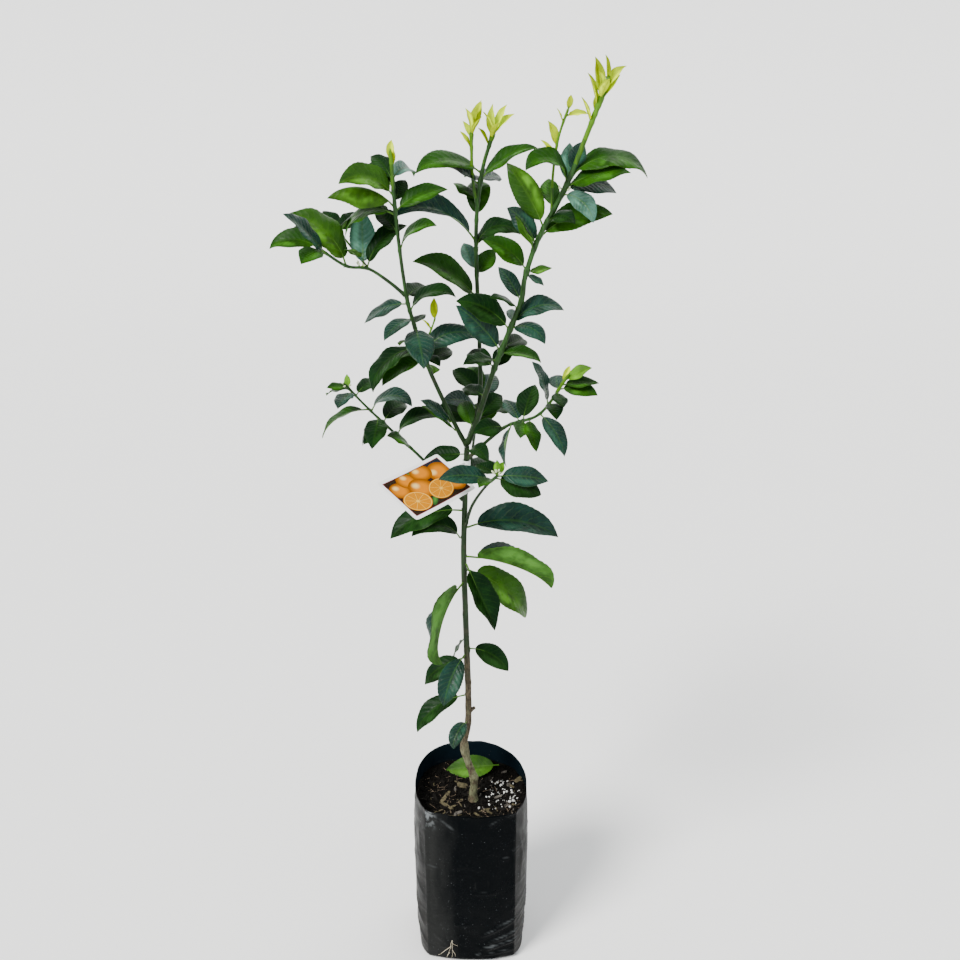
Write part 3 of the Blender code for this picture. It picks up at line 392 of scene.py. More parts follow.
class BagSettings(bpy.types.PropertyGroup):
    """The planter bag's film and its creases."""

    film: length_setting("Film", "Thickness of the film", 0.45 * MM)
    fold_depth: length_setting("Fold depth", "Height of the wrinkles", 1.7 * MM)
    fold_count: count_setting("Small folds", "How many small wrinkles", 70)
    black: colour_setting("Film colour", "The black film", 0.0007, 0.0013, 0.0018)
    dust: colour_setting("Dust colour", "Dust on the film", 0.023, 0.0215, 0.0195)


class MixSettings(bpy.types.PropertyGroup):
    """What the potting mix is made of."""

    roughness: length_setting("Roughness", "Height of the lumps", 2.4 * MM)
    chips: count_setting("Chips", "How many bark chips", 220)
    crumbs: count_setting("Crumbs", "How many crumbs", 1900)
    grit: count_setting("White grit", "How many white grains", 100)
    fibres: count_setting("Fibres", "How many fine fibres", 90)
    earth: colour_setting("Earth", "The mix between the chips", 0.0035, 0.0031, 0.0025)
    dark_chip: colour_setting("Dark chips", "Damp bark chips", 0.0065, 0.0056, 0.0045)
    tan_chip: colour_setting("Tan chips", "Dry bark chips", 0.1, 0.085, 0.048)
    white: colour_setting("Grit colour", "White grit", 0.75, 0.75, 0.72)


class TagSettings(bpy.types.PropertyGroup):
    """Colours of the printed tag."""

    card: colour_setting("Card", "The card's white border", 0.97, 0.97, 0.97)
    line: colour_setting("Frame line", "The thin line inside the border", 0.16, 0.022, 0.03)
    night: colour_setting("Ground", "The dark ground behind the fruit", 0.02, 0.006, 0.005)
    blue: colour_setting("Blue corner", "The dark blue corner", 0.003, 0.011, 0.028)
    peel: colour_setting("Peel", "The fruit's peel", 0.56, 0.16, 0.0)
    flesh: colour_setting("Flesh", "The cut fruit", 0.62, 0.22, 0.0)
    pith: colour_setting("Pith", "The pith between peel and flesh", 0.78, 0.45, 0.06)


class StageSettings(bpy.types.PropertyGroup):
    """The camera, the floor and the lights."""

    lens: FloatProperty(name="Lens", description="Focal length in mm", default=37.5)
    pitch: FloatProperty(name="Pitch", description="How far the camera looks down",
                         default=math.radians(22.8), subtype="ANGLE")
    floor: colour_setting("Floor", "The pale floor", 0.93, 0.93, 0.93)
    key: FloatProperty(name="Key light", description="Strength of the large light, upper left", default=5.6)
    fill: FloatProperty(name="Fill light", description="Strength of the light from the right", default=0.7)
    rim: FloatProperty(name="Rim light", description="Strength of the light from behind", default=1.6)


def bumps(x, y, z):
    """Smooth noise from -1 to 1 at a point."""
    return noise.noise(Vector((x, y, z)))


def settings():
    """The scene's settings for the tree."""
    return bpy.context.scene.mandarin


class Wire:
    """An output of a shader node. Sums with it add the nodes that work them out."""

    def __init__(self, socket):
        self.socket = socket
        self.tree = socket.id_data

    def __add__(self, other):
        return calc("ADD", self, other)

    def __sub__(self, other):
        return calc("SUBTRACT", self, other)

    def __rsub__(self, other):
        return calc("SUBTRACT", other, self)

    def __mul__(self, other):
        return calc("MULTIPLY", self, other)

    def __truediv__(self, other):
        return calc("DIVIDE", self, other)

    def __abs__(self):
        return calc("ABSOLUTE", self)


class Outputs:
    """A shader node's outputs, read as wires by number or name."""

    def __init__(self, made):
        self.made = made

    def __getitem__(self, key):
        return Wire(self.made.outputs[key])


def feed(made, key, value):
    """Joins a wire to a node's input, or gives the input a plain value."""
    if isinstance(value, Wire):
        value.tree.links.new(value.socket, made.inputs[key])
    else:
        made.inputs[key].default_value = value


def node(kind, inputs, **options):
    """The outputs of a new node in its inputs' tree, with its options set and its inputs fed."""
    tree = next(value.tree for value in inputs.values() if isinstance(value, Wire))
    made = tree.nodes.new("ShaderNode" + kind)
    for name, value in options.items():
        setattr(made, name, value)
    for key, value in inputs.items():
        feed(made, key, value)
    return Outputs(made)


def calc(operation, a, b=0.0, clamp=False):
    """One sum of two values or wires."""
    return node("Math", {0: a, 1: b}, operation=operation, use_clamp=clamp)[0]


def fade(value, low, high, start=0.0, end=1.0):
    """A smooth change from start to end as the value runs from low to high."""
    return node("MapRange", {"Value": value, "From Min": low, "From Max": high, "To Min": start,
                             "To Max": end}, interpolation_type="SMOOTHSTEP")[0]


def tint(share, a, b):
    """A colour between a and b; a tuple gives a plain colour."""
    a = (*a, 1) if isinstance(a, tuple) else a
    b = (*b, 1) if isinstance(b, tuple) else b
    return node("Mix", {0: share, 6: a, 7: b}, data_type="RGBA")[2]


def grain(vector, scale, detail=3.0, rough=0.55, stretch=(1, 1, 1)):
    """Noise from 0 to 1 on object coordinates in metres, drawn out by the stretch."""
    moved = node("Mapping", {"Vector": vector, "Scale": stretch})[0]
    return node("TexNoise", {"Vector": moved, "Scale": scale, "Detail": detail, "Roughness": rough})[0]


def plain(colour):
    """A colour setting as a plain tuple."""
    return tuple(float(part) for part in colour)


def scaled(colour, factor):
    """A colour made lighter or darker."""
    return tuple(min(1.0, part * factor) for part in colour)


def new_group(name, inputs, outputs):
    """A shader node group, the wires it is given and its output node. An input with no value is a vector."""
    tree = bpy.data.node_groups.new(name, "ShaderNodeTree")
    for label, value in inputs.items():
        kind = "NodeSocketVector" if value is None else "NodeSocketFloat"
        socket = tree.interface.new_socket(label, in_out="INPUT", socket_type=kind)
        if value is not None:
            socket.default_value = value
    for label in outputs:
        tree.interface.new_socket(label, in_out="OUTPUT", socket_type="NodeSocketFloat")
    return tree, Outputs(tree.nodes.new("NodeGroupInput")), tree.nodes.new("NodeGroupOutput")


@functools.cache
def vein_group():
    """A leaf's veins from its own map, with masks for its painted far shade, painted edge light and painted
    gleam: U runs across the blade and V from its foot to its tip.
    """
    tree, given, result = new_group(
        "leaf veins", {"Map": None, "Pairs": VEIN_PAIRS, "Slant": VEIN_SLANT, "Width": 0.1},
        ("Veins", "Relief", "Far", "Edge", "Gleam"))
    parts = node("SeparateXYZ", {0: given["Map"]})
    out = abs(parts[0] * 2.0 - 1.0)
    wander = grain(given["Map"], 9.0, 1.0)
    along = parts[1] - out * given["Slant"] + wander * 0.05
    wave = calc("FRACT", along * given["Pairs"])
    reach = abs(wave - 0.5)
    side = fade(reach, 0.5, 0.5 - given["Width"], 1.0, 0.0)
    side = side * fade(out, 0.95, 0.55)
    drawn = node("Mapping", {"Vector": given["Map"], "Scale": (14, 34, 1)})[0]
    net = node("TexVoronoi", {"Vector": drawn, "Scale": 1.0}, feature="DISTANCE_TO_EDGE")
    net = fade(net["Distance"], 0.07, 0.0, 0.0, 0.35)
    rib = fade(out, 0.075, 0.03)
    veins = calc("MAXIMUM", calc("MAXIMUM", side, net), rib)
    puff = fade(reach, 0.5, 0.0) * 0.6
    feed(result, "Veins", veins)
    # Painted shade: a mask for the blade's far half
    feed(result, "Far", fade(parts[0], 0.4, 0.62))
    # Painted light: a thin line along the edge
    feed(result, "Edge", fade(out, 0.91, 0.985))
    # Painted highlight: a pale band on the near half, away from the ends
    band = fade(out, 0.1, 0.38) * fade(out, 0.9, 0.55)
    ends = fade(parts[1], 0.1, 0.35) * fade(parts[1], 0.9, 0.6)
    band = band * ends * fade(parts[0], 0.62, 0.4)
    feed(result, "Gleam", band)
    feed(result, "Relief", puff - veins * 0.5)
    return tree


@functools.cache
def dust_group():
    """Dust: a soft cloud and small pale grains."""
    tree, given, result = new_group(
        "dust", {"Place": None, "Cloud size": 20.0, "Speck size": 300.0, "Specks": 0.1},
        ("Cloud", "Specks"))
    place = given["Place"]
    cloud = node("TexNoise",
                 {"Vector": place, "Scale": given["Cloud size"], "Detail": 6.0, "Roughness": 0.65})[0]
    cells = node("TexVoronoi", {"Vector": place, "Scale": given["Speck size"]})
    dot = fade(cells["Distance"], 0.28, 0.1)
    pick = node("SeparateColor", {0: cells["Color"]})[0]
    pick = calc("LESS_THAN", pick, given["Specks"])
    feed(result, "Cloud", fade(cloud, 0.42, 0.72))
    feed(result, "Specks", dot * pick)
    return tree


@functools.cache
def fruit_group():
    """A round fruit seen on the tag: where it is, how it is shaded and where it shines."""
    tree, given, result = new_group(
        "fruit", {"Place": None, "Centre": None, "Radius": 0.2, "Squash": 0.85, "Turn": 0.0},
        ("Inside", "Reach", "Angle", "Shine"))
    moved = node("VectorMath", {0: given["Place"], 1: given["Centre"]}, operation="SUBTRACT")[0]
    turned = node("VectorRotate", {"Vector": moved, "Angle": given["Turn"]}, rotation_type="Z_AXIS")[0]
    parts = node("SeparateXYZ", {0: turned})
    x = parts[0] / given["Radius"]
    y = parts[1] / given["Radius"] / given["Squash"]
    reach = calc("SQRT", x * x + y * y)
    dx = x + 0.3
    dy = y - 0.35
    shine = calc("SQRT", dx * dx + dy * dy)
    feed(result, "Inside", fade(reach, 1.0, 0.965))
    feed(result, "Reach", reach)
    feed(result, "Angle", calc("ARCTAN2", y, x))
    feed(result, "Shine", fade(shine, 0.42, 0.05))
    return tree


def new_material(name, roughness, specular):
    """A material with its shader and the wires of its object coordinates and its own map."""
    material = bpy.data.materials.new(name)
    material.use_nodes = True
    tree = material.node_tree
    shader = tree.nodes["Principled BSDF"]
    shader.inputs["Roughness"].default_value = roughness
    shader.inputs["Specular IOR Level"].default_value = specular
    place = Outputs(tree.nodes.new("ShaderNodeTexCoord"))
    return material, shader, place["Object"], place["UV"]


def add_bump(shader, height, distance, strength=1.0):
    """Gives the shader relief from a height."""
    bump = node("Bump", {"Height": height, "Distance": distance, "Strength": strength})
    feed(shader, "Normal", bump[0])


@functools.cache
def leaf_material(name, colour, rib, vein_share, roughness, shine, shade=0.5, gleam=0.8, relief=0.3 * MM):
    """A leaf's blade: uneven green with paler veins, painted shade beyond the midrib, a painted light line at
    its edge and a painted pale gleam on its near half.
    """
    material, shader, place, own = new_material(name, roughness, shine)
    veins = node("Group", {"Map": own}, node_tree=vein_group())
    patch = grain(place, 45, 3)
    base = tint(fade(patch, 0.3, 0.7), scaled(colour, 0.45), scaled(colour, 1.35))
    # Painted highlight: a pale gleam on the near half
    band = veins["Gleam"] * fade(grain(place, 50, 2), 0.4, 0.6, 0, gleam)
    pale = tuple(part * 2.2 + add for part, add in zip(colour, (0.012, 0.02, 0.008)))
    base = tint(band, base, pale)
    flecks = grain(place, 900, 2)
    base = tint(fade(flecks, 0.62, 0.8, 0, 0.25), base, scaled(colour, 1.9))
    # Painted shade: the far half darker and a little bluer
    kept, blue = (0.3, 0.38, 0.6), (0, 0.002, 0.003)
    far = tuple(part * keep + add for part, keep, add in zip(colour, kept, blue))
    base = tint(veins["Far"] * shade, base, far)
    # Painted light: a paler line along the edge
    base = tint(veins["Edge"] * 0.22, base, rib)
    base = tint(veins["Veins"] * vein_share, base, rib)
    feed(shader, "Base Color", base)
    gloss = fade(grain(place, 130, 4), 0.3, 0.7, roughness - 0.07, roughness + 0.09)
    feed(shader, "Roughness", gloss)
    pores = grain(place, 1400, 2) * 0.14
    add_bump(shader, veins["Relief"] + pores, relief, 0.7)
    return material


# Each kind of leaf: how much its veins show, its shine, its roughness, the painted shade beyond its midrib
# and the strength of the painted pale gleam along it
LEAF_FINISH = {
    PAINTED_SHADE_GREEN: (0.1, 0.05, 0.34, 0.5, 0.35),
    PAINTED_LIGHT_GREEN: (0.1, 0.06, 0.32, 0.6, 0.7),
    PAINTED_SUNLIGHT_GREEN: (0.22, 0.1, 0.32, 0.65, 1.0),
    TEAL_PAINTED_SKY: (0.24, 0.15, 0.32, 0.3, 0.6),
    PALE_PAINTED_SKY: (0.4, 0.24, 0.3, 0.15, 0.9),
    LIME: (0.12, 0.03, 0.5, 0.45, 0.3),
    PALE: (0.25, 0.09, 0.45, 0.35, 0.5),
}


def leaf_materials(tone):
    """The upper side, underside and rib materials of one kind of leaf."""
    look = settings().leaf
    colour = plain(getattr(look, tone))
    rib = plain(look.rib)
    young = tone in (LIME, PALE)
    # The underside takes in part of the upper side's green, and with it some of that green's painted light or
    # shade
    under = tuple(a * 0.75 + b * 0.35 for a, b in zip(plain(look.under), colour))
    if tone == LIME:
        under = scaled(colour, 0.85)
    share, shine, rough, shade, gleam = LEAF_FINISH[tone]
    relief = (0.55 if tone in (TEAL_PAINTED_SKY, PALE_PAINTED_SKY) else 0.3) * MM
    rib_colour = tuple((a + b) / 2 for a, b in zip(colour, rib)) if young else rib
    return (
        # Both sides carry leaf_material's painted far shade and painted gleam
        leaf_material(f"leaf {tone}", colour, scaled(rib_colour, 0.9), share, rough, shine, shade, gleam,
                      relief),
        leaf_material(f"underside {tone}", under, scaled(rib_colour, 1.1), 0.5, 0.55, shine * 0.4, 0.2),
        stem_material(f"rib {tone}", scaled(rib_colour, 0.85), rib_colour),
    )


@functools.cache
def stem_material(name, dark, light):
    """Smooth green wood: fine lengthwise streaks and small pale pores."""
    material, shader, place, _ = new_material(name, 0.5, 0.2)
    streak = grain(place, 260, 3, 0.6, (1, 1, 0.12))
    base = tint(fade(streak, 0.35, 0.7), dark, light)
    cloud = grain(place, 30, 2)
    base = tint(fade(cloud, 0.4, 0.7, 0, 0.4), base, scaled(dark, 0.7))
    dust = node("Group", {"Place": place, "Cloud size": 60.0, "Speck size": 700.0, "Specks": 0.06},
                node_tree=dust_group())
    base = tint(dust["Specks"] * 0.5, base, scaled(light, 2.2))
    feed(shader, "Base Color", base)
    add_bump(shader, streak, 0.3 * MM, 0.6)
    return material


@functools.cache
def bark_material(pale, brown, green, height):
    """Bark by height: pale and rough at the foot, grey-brown above, then smooth and green."""
    material, shader, place, _ = new_material("bark", 0.8, 0.2)
    up = node("SeparateXYZ", {0: place})[2]
    rough = grain(place, 420, 6, 0.7, (1, 1, 0.35))
    streak = grain(place, 300, 4, 0.6, (1, 1, 0.08))
    cloud = grain(place, 70, 3, 0.6)
    old = tint(fade(rough, 0.35, 0.68), scaled(brown, 0.45), scaled(brown, 1.7))
    old = tint(fade(streak, 0.6, 0.75, 0, 0.5), old, scaled(pale, 0.8))
    patch = fade(cloud, 0.4, 0.58) * fade(up, 0.37, 0.3)
    light = tint(fade(rough, 0.3, 0.7), scaled(pale, 0.62), scaled(pale, 1.25))
    old = tint(patch, old, light)
    new = tint(fade(streak, 0.4, 0.7), scaled(green, 0.75), scaled(green, 1.6))
    new = tint(fade(cloud, 0.55, 0.75, 0, 0.5), new, scaled(brown, 0.7))
    edge = up + (cloud - 0.5) * 0.12
    base = tint(fade(edge, height - 0.03, height + 0.04), old, new)
    feed(shader, "Base Color", base)
    feed(shader, "Roughness", fade(edge, height - 0.05, height + 0.05, 0.88, 0.46))
    depth = fade(edge, height - 0.06, height + 0.05, 1.0, 0.25)
    add_bump(shader, (rough + streak) * depth, 1.3 * MM, 1.0)
    return material


# Painted light on the film: the painted soft reflection at the front's left, the painted highlights along its
# folds, which share their pale colour with specks of dust, and the painted blue-black sheen of its inside
PAINTED_SHEEN = (0.017, 0.0175, 0.017)
PAINTED_GLINT_AND_SPECKS = (0.12, 0.13, 0.135)
PAINTED_INSIDE_SHEEN = (0.004, 0.0095, 0.014)


@functools.cache
def film_material(name, black, dust_colour, dusty):
    """Black film: glossy and finely crumpled, with dust where it is handled least and painted highlights
    along its folds; in front, a painted reflection at the left and a painted silvery reflection at the rim.
    """
    material, shader, place, own = new_material(name, 0.25, 0.025 + 0.09 * dusty)
    dust = node("Group", {"Place": place, "Cloud size": 26.0, "Speck size": 420.0,
                          "Specks": 0.03 + 0.05 * dusty}, node_tree=dust_group())
    parts = node("SeparateXYZ", {0: place})
    across, up = parts[0], parts[2]
    low = fade(up, 0.16, 0.02, 0.25, 1.0)
    cloud = dust["Cloud"] * (low * (0.05 + 0.5 * dusty))
    cloud = calc("ADD", cloud, 0.2 * dusty, True)
    base = tint(cloud, black, dust_colour)
    if not dusty:
        # Painted reflection: a soft paler zone at the front's left
        wander = (grain(place, 30, 3, 0.5, (1, 1, 0.3)) - 0.5) * 0.05
        painted_sheen = fade(across + wander, -0.022, -0.05, 0.0, 0.8)
        base = tint(painted_sheen, base, PAINTED_SHEEN)
        band = fade(abs(across + 0.024), 0.034, 0.004) * fade(up, 0.24, 0.12)
        flakes = fade(grain(place, 700, 3, 0.7, (1, 1, 0.5)), 0.62, 0.7)
        flakes = flakes * fade(grain(place, 90, 3), 0.5, 0.62)
        base = tint(flakes * band, base, PAINTED_GLINT_AND_SPECKS)
        # Painted reflection: a silvery patch on the crumpled rim at the front's left
        painted_silver_reflection = fade(across, -0.044, -0.056) * fade(up, 0.236, 0.258)
        painted_silver_reflection = painted_silver_reflection * fade(grain(place, 150, 4), 0.42, 0.62)
        base = tint(painted_silver_reflection, base, PAINTED_GLINT_AND_SPECKS)
    base = tint(dust["Specks"] * 0.7, base, PAINTED_GLINT_AND_SPECKS)
    # Painted highlights along the folds, from the painted fold light map
    fold = node("SeparateXYZ", {0: own})[0]
    fold = fold * fade(grain(place, 60, 3), 0.35, 0.6, 0.25, 1.0)
    base = tint(fold, base, PAINTED_GLINT_AND_SPECKS)
    # Faint pale upright streaks in the painted sheen's colour
    upright_streaks = grain(place, 160, 3, 0.6, (1, 1, 0.15))
    base = tint(fade(upright_streaks, 0.66, 0.74, 0, 0.3), base, PAINTED_SHEEN)
    feed(shader, "Base Color", base)
    rough = fade(grain(place, 40, 4), 0.3, 0.75, 0.2 + 0.1 * dusty, 0.36 + 0.18 * dusty)
    feed(shader, "Roughness", calc("ADD", rough, cloud * 0.3, True))
    crumple = grain(place, 55, 4, 0.5, (1, 1, 0.45)) + grain(place, 240, 3) * 0.22
    add_bump(shader, crumple, 1.6 * MM, 0.55)
    return material


@functools.cache
def earth_material(name, dark, light, roughness, scale):
    """A rough natural surface: grain in two sizes between two colours."""
    material, shader, place, _ = new_material(name, roughness, 0.08)
    fine = grain(place, scale, 5, 0.65)
    cloud = grain(place, scale / 7, 3)
    base = tint(fade(fine, 0.3, 0.7), dark, light)
    base = tint(fade(cloud, 0.4, 0.7, 0, 0.5), base, scaled(dark, 0.7))
    feed(shader, "Base Color", base)
    feed(shader, "Roughness", fade(cloud, 0.3, 0.7, roughness - 0.12, roughness + 0.05))
    add_bump(shader, fine, 0.7 * MM, 0.8)
    return material


def between(a, b, c, d, t):
    """A point on the smooth curve from b to c, with a before them and d after."""
    return 0.5 * ((2 * b) + (c - a) * t + (2 * a - 5 * b + 4 * c - d) * t * t
                  + (3 * b - a - 3 * c + d) * t ** 3)


def with_ends(points):
    """The points with one more at each end, so that a smooth curve reaches the first and the last."""
    return [points[0] * 2 - points[1], *points, points[-1] * 2 - points[-2]]


def smooth_line(points):
    """A centre line for add_rod that runs smoothly through the points."""
    way = with_ends(points)
    parts = len(points) - 1

    def centre_line(share):
        part = min(share * parts, parts - 0.001)
        k = int(part)
        here, there = (between(*way[k:k + 4], part - k + ahead) for ahead in (0, 0.05))
        return here, (there - here).normalized()

    return centre_line


class Place(NamedTuple):
    """A point on a path, the way the path runs there and its radius, in metres."""

    point: Vector
    run: Vector
    radius: float


class Path:
    """A smooth line through a shoot's way points, measured in millimetres from its foot."""

    def __init__(self, name):
        shoot = SHOOTS[name]
        self.name = name
        self.shoot = shoot
        way = with_ends([Vector(point) * MM + GROUND for point in shoot.way])
        self.points = []
        for a, b, c, d in zip(way, way[1:], way[2:], way[3:]):
            steps = max(2, round((c - b).length / (2 * MM)))
            for k in range(steps):
                self.points.append(between(a, b, c, d, k / steps))
        self.points.append(way[-2])
        self.miles = [0.0]
        for a, b in zip(self.points, self.points[1:]):
            self.miles.append(self.miles[-1] + (b - a).length)
        self.length = self.miles[-1] / MM

    def at(self, mm):
        """The place this many millimetres from the foot."""
        goal = min(max(mm, 0), self.length) * MM
        k = next((k for k, mile in enumerate(self.miles[1:]) if mile >= goal), len(self.miles) - 2)
        a, b = self.points[k], self.points[k + 1]
        share = (goal - self.miles[k]) / (self.miles[k + 1] - self.miles[k])
        return Place(a.lerp(b, share), (b - a).normalized(), self.radius(mm))

    def radius(self, mm):
        """The stem's radius there: an even taper, with root flare and knobs on the trunk."""
        share = max(mm, 0) / self.length
        radius = self.shoot.foot + (self.shoot.tip - self.shoot.foot) * share ** TAPER
        if self.name == "trunk":
            swell = FLARE * math.exp(-mm / FLARE_HEIGHT)
            swell += UNION_KNOB * math.exp(-(((mm - UNION_PLACE) / UNION_SPREAD) ** 2))
            swell += FOOT_KNOB * math.exp(-(((mm - FOOT_PLACE) / FOOT_SPREAD) ** 2))
            radius *= 1 + swell
        return radius * MM

    def stretch(self, start, end):
        """Places along a stretch of the path, about a step apart."""
        end = self.length if end is None else end
        step = TRUNK_STEP if self.name == "trunk" else PATH_STEP
        count = max(2, round((end - start) * MM / step))
        return [self.at(start + (end - start) * k / count) for k in range(count + 1)]

    def smooth_at(self, mm):
        """The place there with its run read over a longer stretch, for a smooth skin."""
        place = self.at(mm)
        run = self.at(mm + 4).point - self.at(mm - 4).point
        return place._replace(run=run.normalized() if run.length else place.run)


class Leaf(NamedTuple):
    """A leaf's foot, turn, rise, length, bend and lean, with its own small differences."""

    foot: Vector
    turn: float
    rise: float
    length: float
    droop: float
    lean: float
    wide: float
    fold: float
    sweep: float


class Grown(NamedTuple):
    """A leaf that found room: its shape, the stem's place it grows from, its colour and its seed."""

    leaf: Leaf
    root: Place
    tone: str
    seed: str


def heading(turn, rise):
    """The direction of a compass turn and a rise, in degrees."""
    turn, rise = math.radians(turn), math.radians(rise)
    return Vector((math.cos(turn) * math.cos(rise), math.sin(turn) * math.cos(rise), math.sin(rise)))


def square_to(way, run):
    """The direction of a way, made square to a run."""
    return (way - run * way.dot(run)).normalized()


def blade_width(share):
    """Half the blade's width over its greatest half width, from the petiole to the tip."""
    if not 0 < share < 1:
        return 0.0
    drawn = BLADE_FOOT_ROUND + (BLADE_TIP_DRAWN - BLADE_FOOT_ROUND) * share
    return math.sin(math.pi * share ** BLADE_SKEW) ** drawn


def blade_wide(length):
    """A blade's full width: long leaves are slimmer for their length."""
    return length * (LEAF_WIDTH - LEAF_SLIMMING * length)


def leaf_section(leaf, share):
    """The midrib's point, the way across and the way up at a share of the leaf's length."""
    steps = 12
    point = leaf.foot.copy()
    for k in range(steps):
        s = share * (k + 0.5) / steps
        run = heading(leaf.turn + leaf.sweep * s, leaf.rise - leaf.droop * s)
        point += run * (leaf.length * share / steps)
    run = heading(leaf.turn + leaf.sweep * share, leaf.rise - leaf.droop * share)
    turn = math.radians(leaf.turn + leaf.sweep * share)
    across = Vector((-math.sin(turn), math.cos(turn), 0))
    roll = Matrix.Rotation(math.radians(leaf.lean), 3, run)
    across = roll @ across
    return point, across, run.cross(across).normalized()


def leaf_rings(leaf, grow=0.0):
    """Four-cornered rings from the petiole's root to near the tip, then the tip's point."""
    stations = LONG_LEAF_STATIONS if leaf.droop > LONG_LEAF_DROOP else LEAF_STATIONS
    rings = [square_ring(leaf, 0.0, PETIOLE_RADIUS + grow)]
    thick = max(leaf.length * LEAF_THICK, LEAF_LEAST_THICK) / 2 + grow
    fold = math.radians(leaf.fold)
    for station in stations:
        share = LEAF_PETIOLE + (1 - LEAF_PETIOLE) * station
        if station == 0.0:
            rings.append(square_ring(leaf, share, PETIOLE_RADIUS + grow))
            continue
        middle, across, up = leaf_section(leaf, share)
        half = leaf.wide * blade_width(station) / 2 + grow
        rise = up * math.sin(fold) * half
        reach = across * math.cos(fold) * half
        rings.append([middle + reach + rise, middle + up * thick, middle - reach + rise,
                      middle - up * thick])
    return rings, leaf_section(leaf, 1.0)[0]


def square_ring(leaf, share, radius):
    """Four points round the midrib."""
    middle, across, up = leaf_section(leaf, share)
    return [middle + across * radius, middle + up * radius, middle - across * radius,
            middle - up * radius]


def leaf_cage(leaf, grow=0.0):
    """The frame's plain leaf as a bmesh, which the clearance test uses."""
    rings, tip = leaf_rings(leaf, grow)
    cage = bmesh.new()
    rows = [[cage.verts.new(corner) for corner in ring] for ring in rings]
    end = cage.verts.new(tip)
    cage.faces.new(rows[0][::-1])
    for low, high in zip(rows, rows[1:]):
        for k in range(4):
            cage.faces.new((low[k], low[(k + 1) % 4], high[(k + 1) % 4], high[k]))
    for k in range(4):
        cage.faces.new((rows[-1][k], rows[-1][(k + 1) % 4], end))
    bmesh.ops.recalc_face_normals(cage, faces=cage.faces)
    return cage


def skin_of(cage, skip_rings=0):
    """A search tree over a bmesh, leaving out the faces that use a leaf's first rings."""
    if skip_rings:
        cage.verts.ensure_lookup_table()
        bmesh.ops.delete(cage, geom=cage.verts[:4 * skip_rings], context="VERTS")
    return BVHTree.FromBMesh(cage)


def leaf_on(path, row, seed, seat):
    """A leaf of a shoot: its root sunk in the stem, or, with a seat, just clear of the stem."""
    mm, turn, rise, length, droop = row[:5]
    shown = [value for value in row[5:] if not isinstance(value, str)]
    draw = random.Random(seed)
    place = path.at(mm)
    out = square_to(heading(turn, 0), place.run)
    if seat:
        tilt = abs(heading(turn, rise).dot(place.run))
        foot = place.point + out * (place.radius + GAP + PETIOLE_RADIUS * (0.15 + 1.1 * tilt))
    else:
        foot = place.point + out * (place.radius * 0.25)
    lean = LEAF_LEAN * math.cos(math.radians(turn)) + draw.uniform(-14, 14)
    size = length * MM
    wide = blade_wide(size) * draw.uniform(0.9, 1.12)
    fold = LEAF_FOLD * draw.uniform(0.4, 1.5)
    if shown:
        lean = shown[0]
        fold = shown[-1] if len(shown) > 1 else fold
    return Leaf(foot, turn, rise, size, droop, lean, wide, fold, draw.uniform(-22, 22))


class Plant:
    """What is already placed, so that each new leaf can keep clear of it."""

    def __init__(self):
        self.skins = []

    def is_free(self, leaf, own):
        """Whether a leaf keeps clear of all that is placed, its petiole apart where it joins its own node."""
        cage = leaf_cage(leaf, LEAF_CLEARANCE)
        whole = skin_of(cage)
        blade = skin_of(cage, 2)
        cage.free()
        return not any((blade if own and name == own else whole).overlap(tree)
                       for name, tree in self.skins)

    def settle(self, leaf, own):
        """The leaf at the first swing and lift where it is clear, or nothing."""
        for lift in LIFTS:
            for swing in SWINGS:
                trial = leaf._replace(turn=leaf.turn + swing, rise=leaf.rise + lift)
                if self.is_free(trial, own):
                    cage = leaf_cage(trial)
                    self.skins.append((own, skin_of(cage)))
                    cage.free()
                    return trial
        return None

    def grow(self, path, row, own, into, seat=False):
        """Places a row's leaf and keeps it in the list."""
        seed = f"{path.name} {row[0]:.0f} {row[1]:.0f}"
        leaf = self.settle(leaf_on(path, row, seed, seat), "" if seat else own)
        if leaf:
            into.append(Grown(leaf, path.at(row[0]), tone_of(path.name, row, seed), seed))


def tone_of(shoot, row, seed):
    """A leaf's green: lime at the young tips, as its row says, or else dealt out by seed; mature greens are
    painted light or shade.
    """
    shown = row[-1] if isinstance(row[-1], str) else None
    if row[0] >= LIME_FROM.get(shoot, math.inf) and shown != PALE:
        return LIME
    return shown or random.Random("tone " + seed).choice(TONES)


def rows_in(shoot, start, end):
    """A shoot's leaves that stand on one stretch of it."""
    return [row for row in LEAVES[shoot] if start <= row[0] and (end is None or row[0] <= end + 3)]


def mesh_of(name, cage):
    """A mesh made from a bmesh, which is freed."""
    mesh = bpy.data.meshes.new(name)
    cage.to_mesh(mesh)
    cage.free()
    return mesh


def add_object(name, data):
    """An object that holds this data, added to the scene."""
    made = bpy.data.objects.new(name, data)
    bpy.context.scene.collection.objects.link(made)
    return made


def new_points(made):
    """The points among what a bmesh operator made."""
    return [item for item in made["geom"] if isinstance(item, bmesh.types.BMVert)]


def mesh_skin(mesh):
    """A search tree over a mesh."""
    cage = bmesh.new()
    cage.from_mesh(mesh)
    tree = BVHTree.FromBMesh(cage)
    cage.free()
    return tree


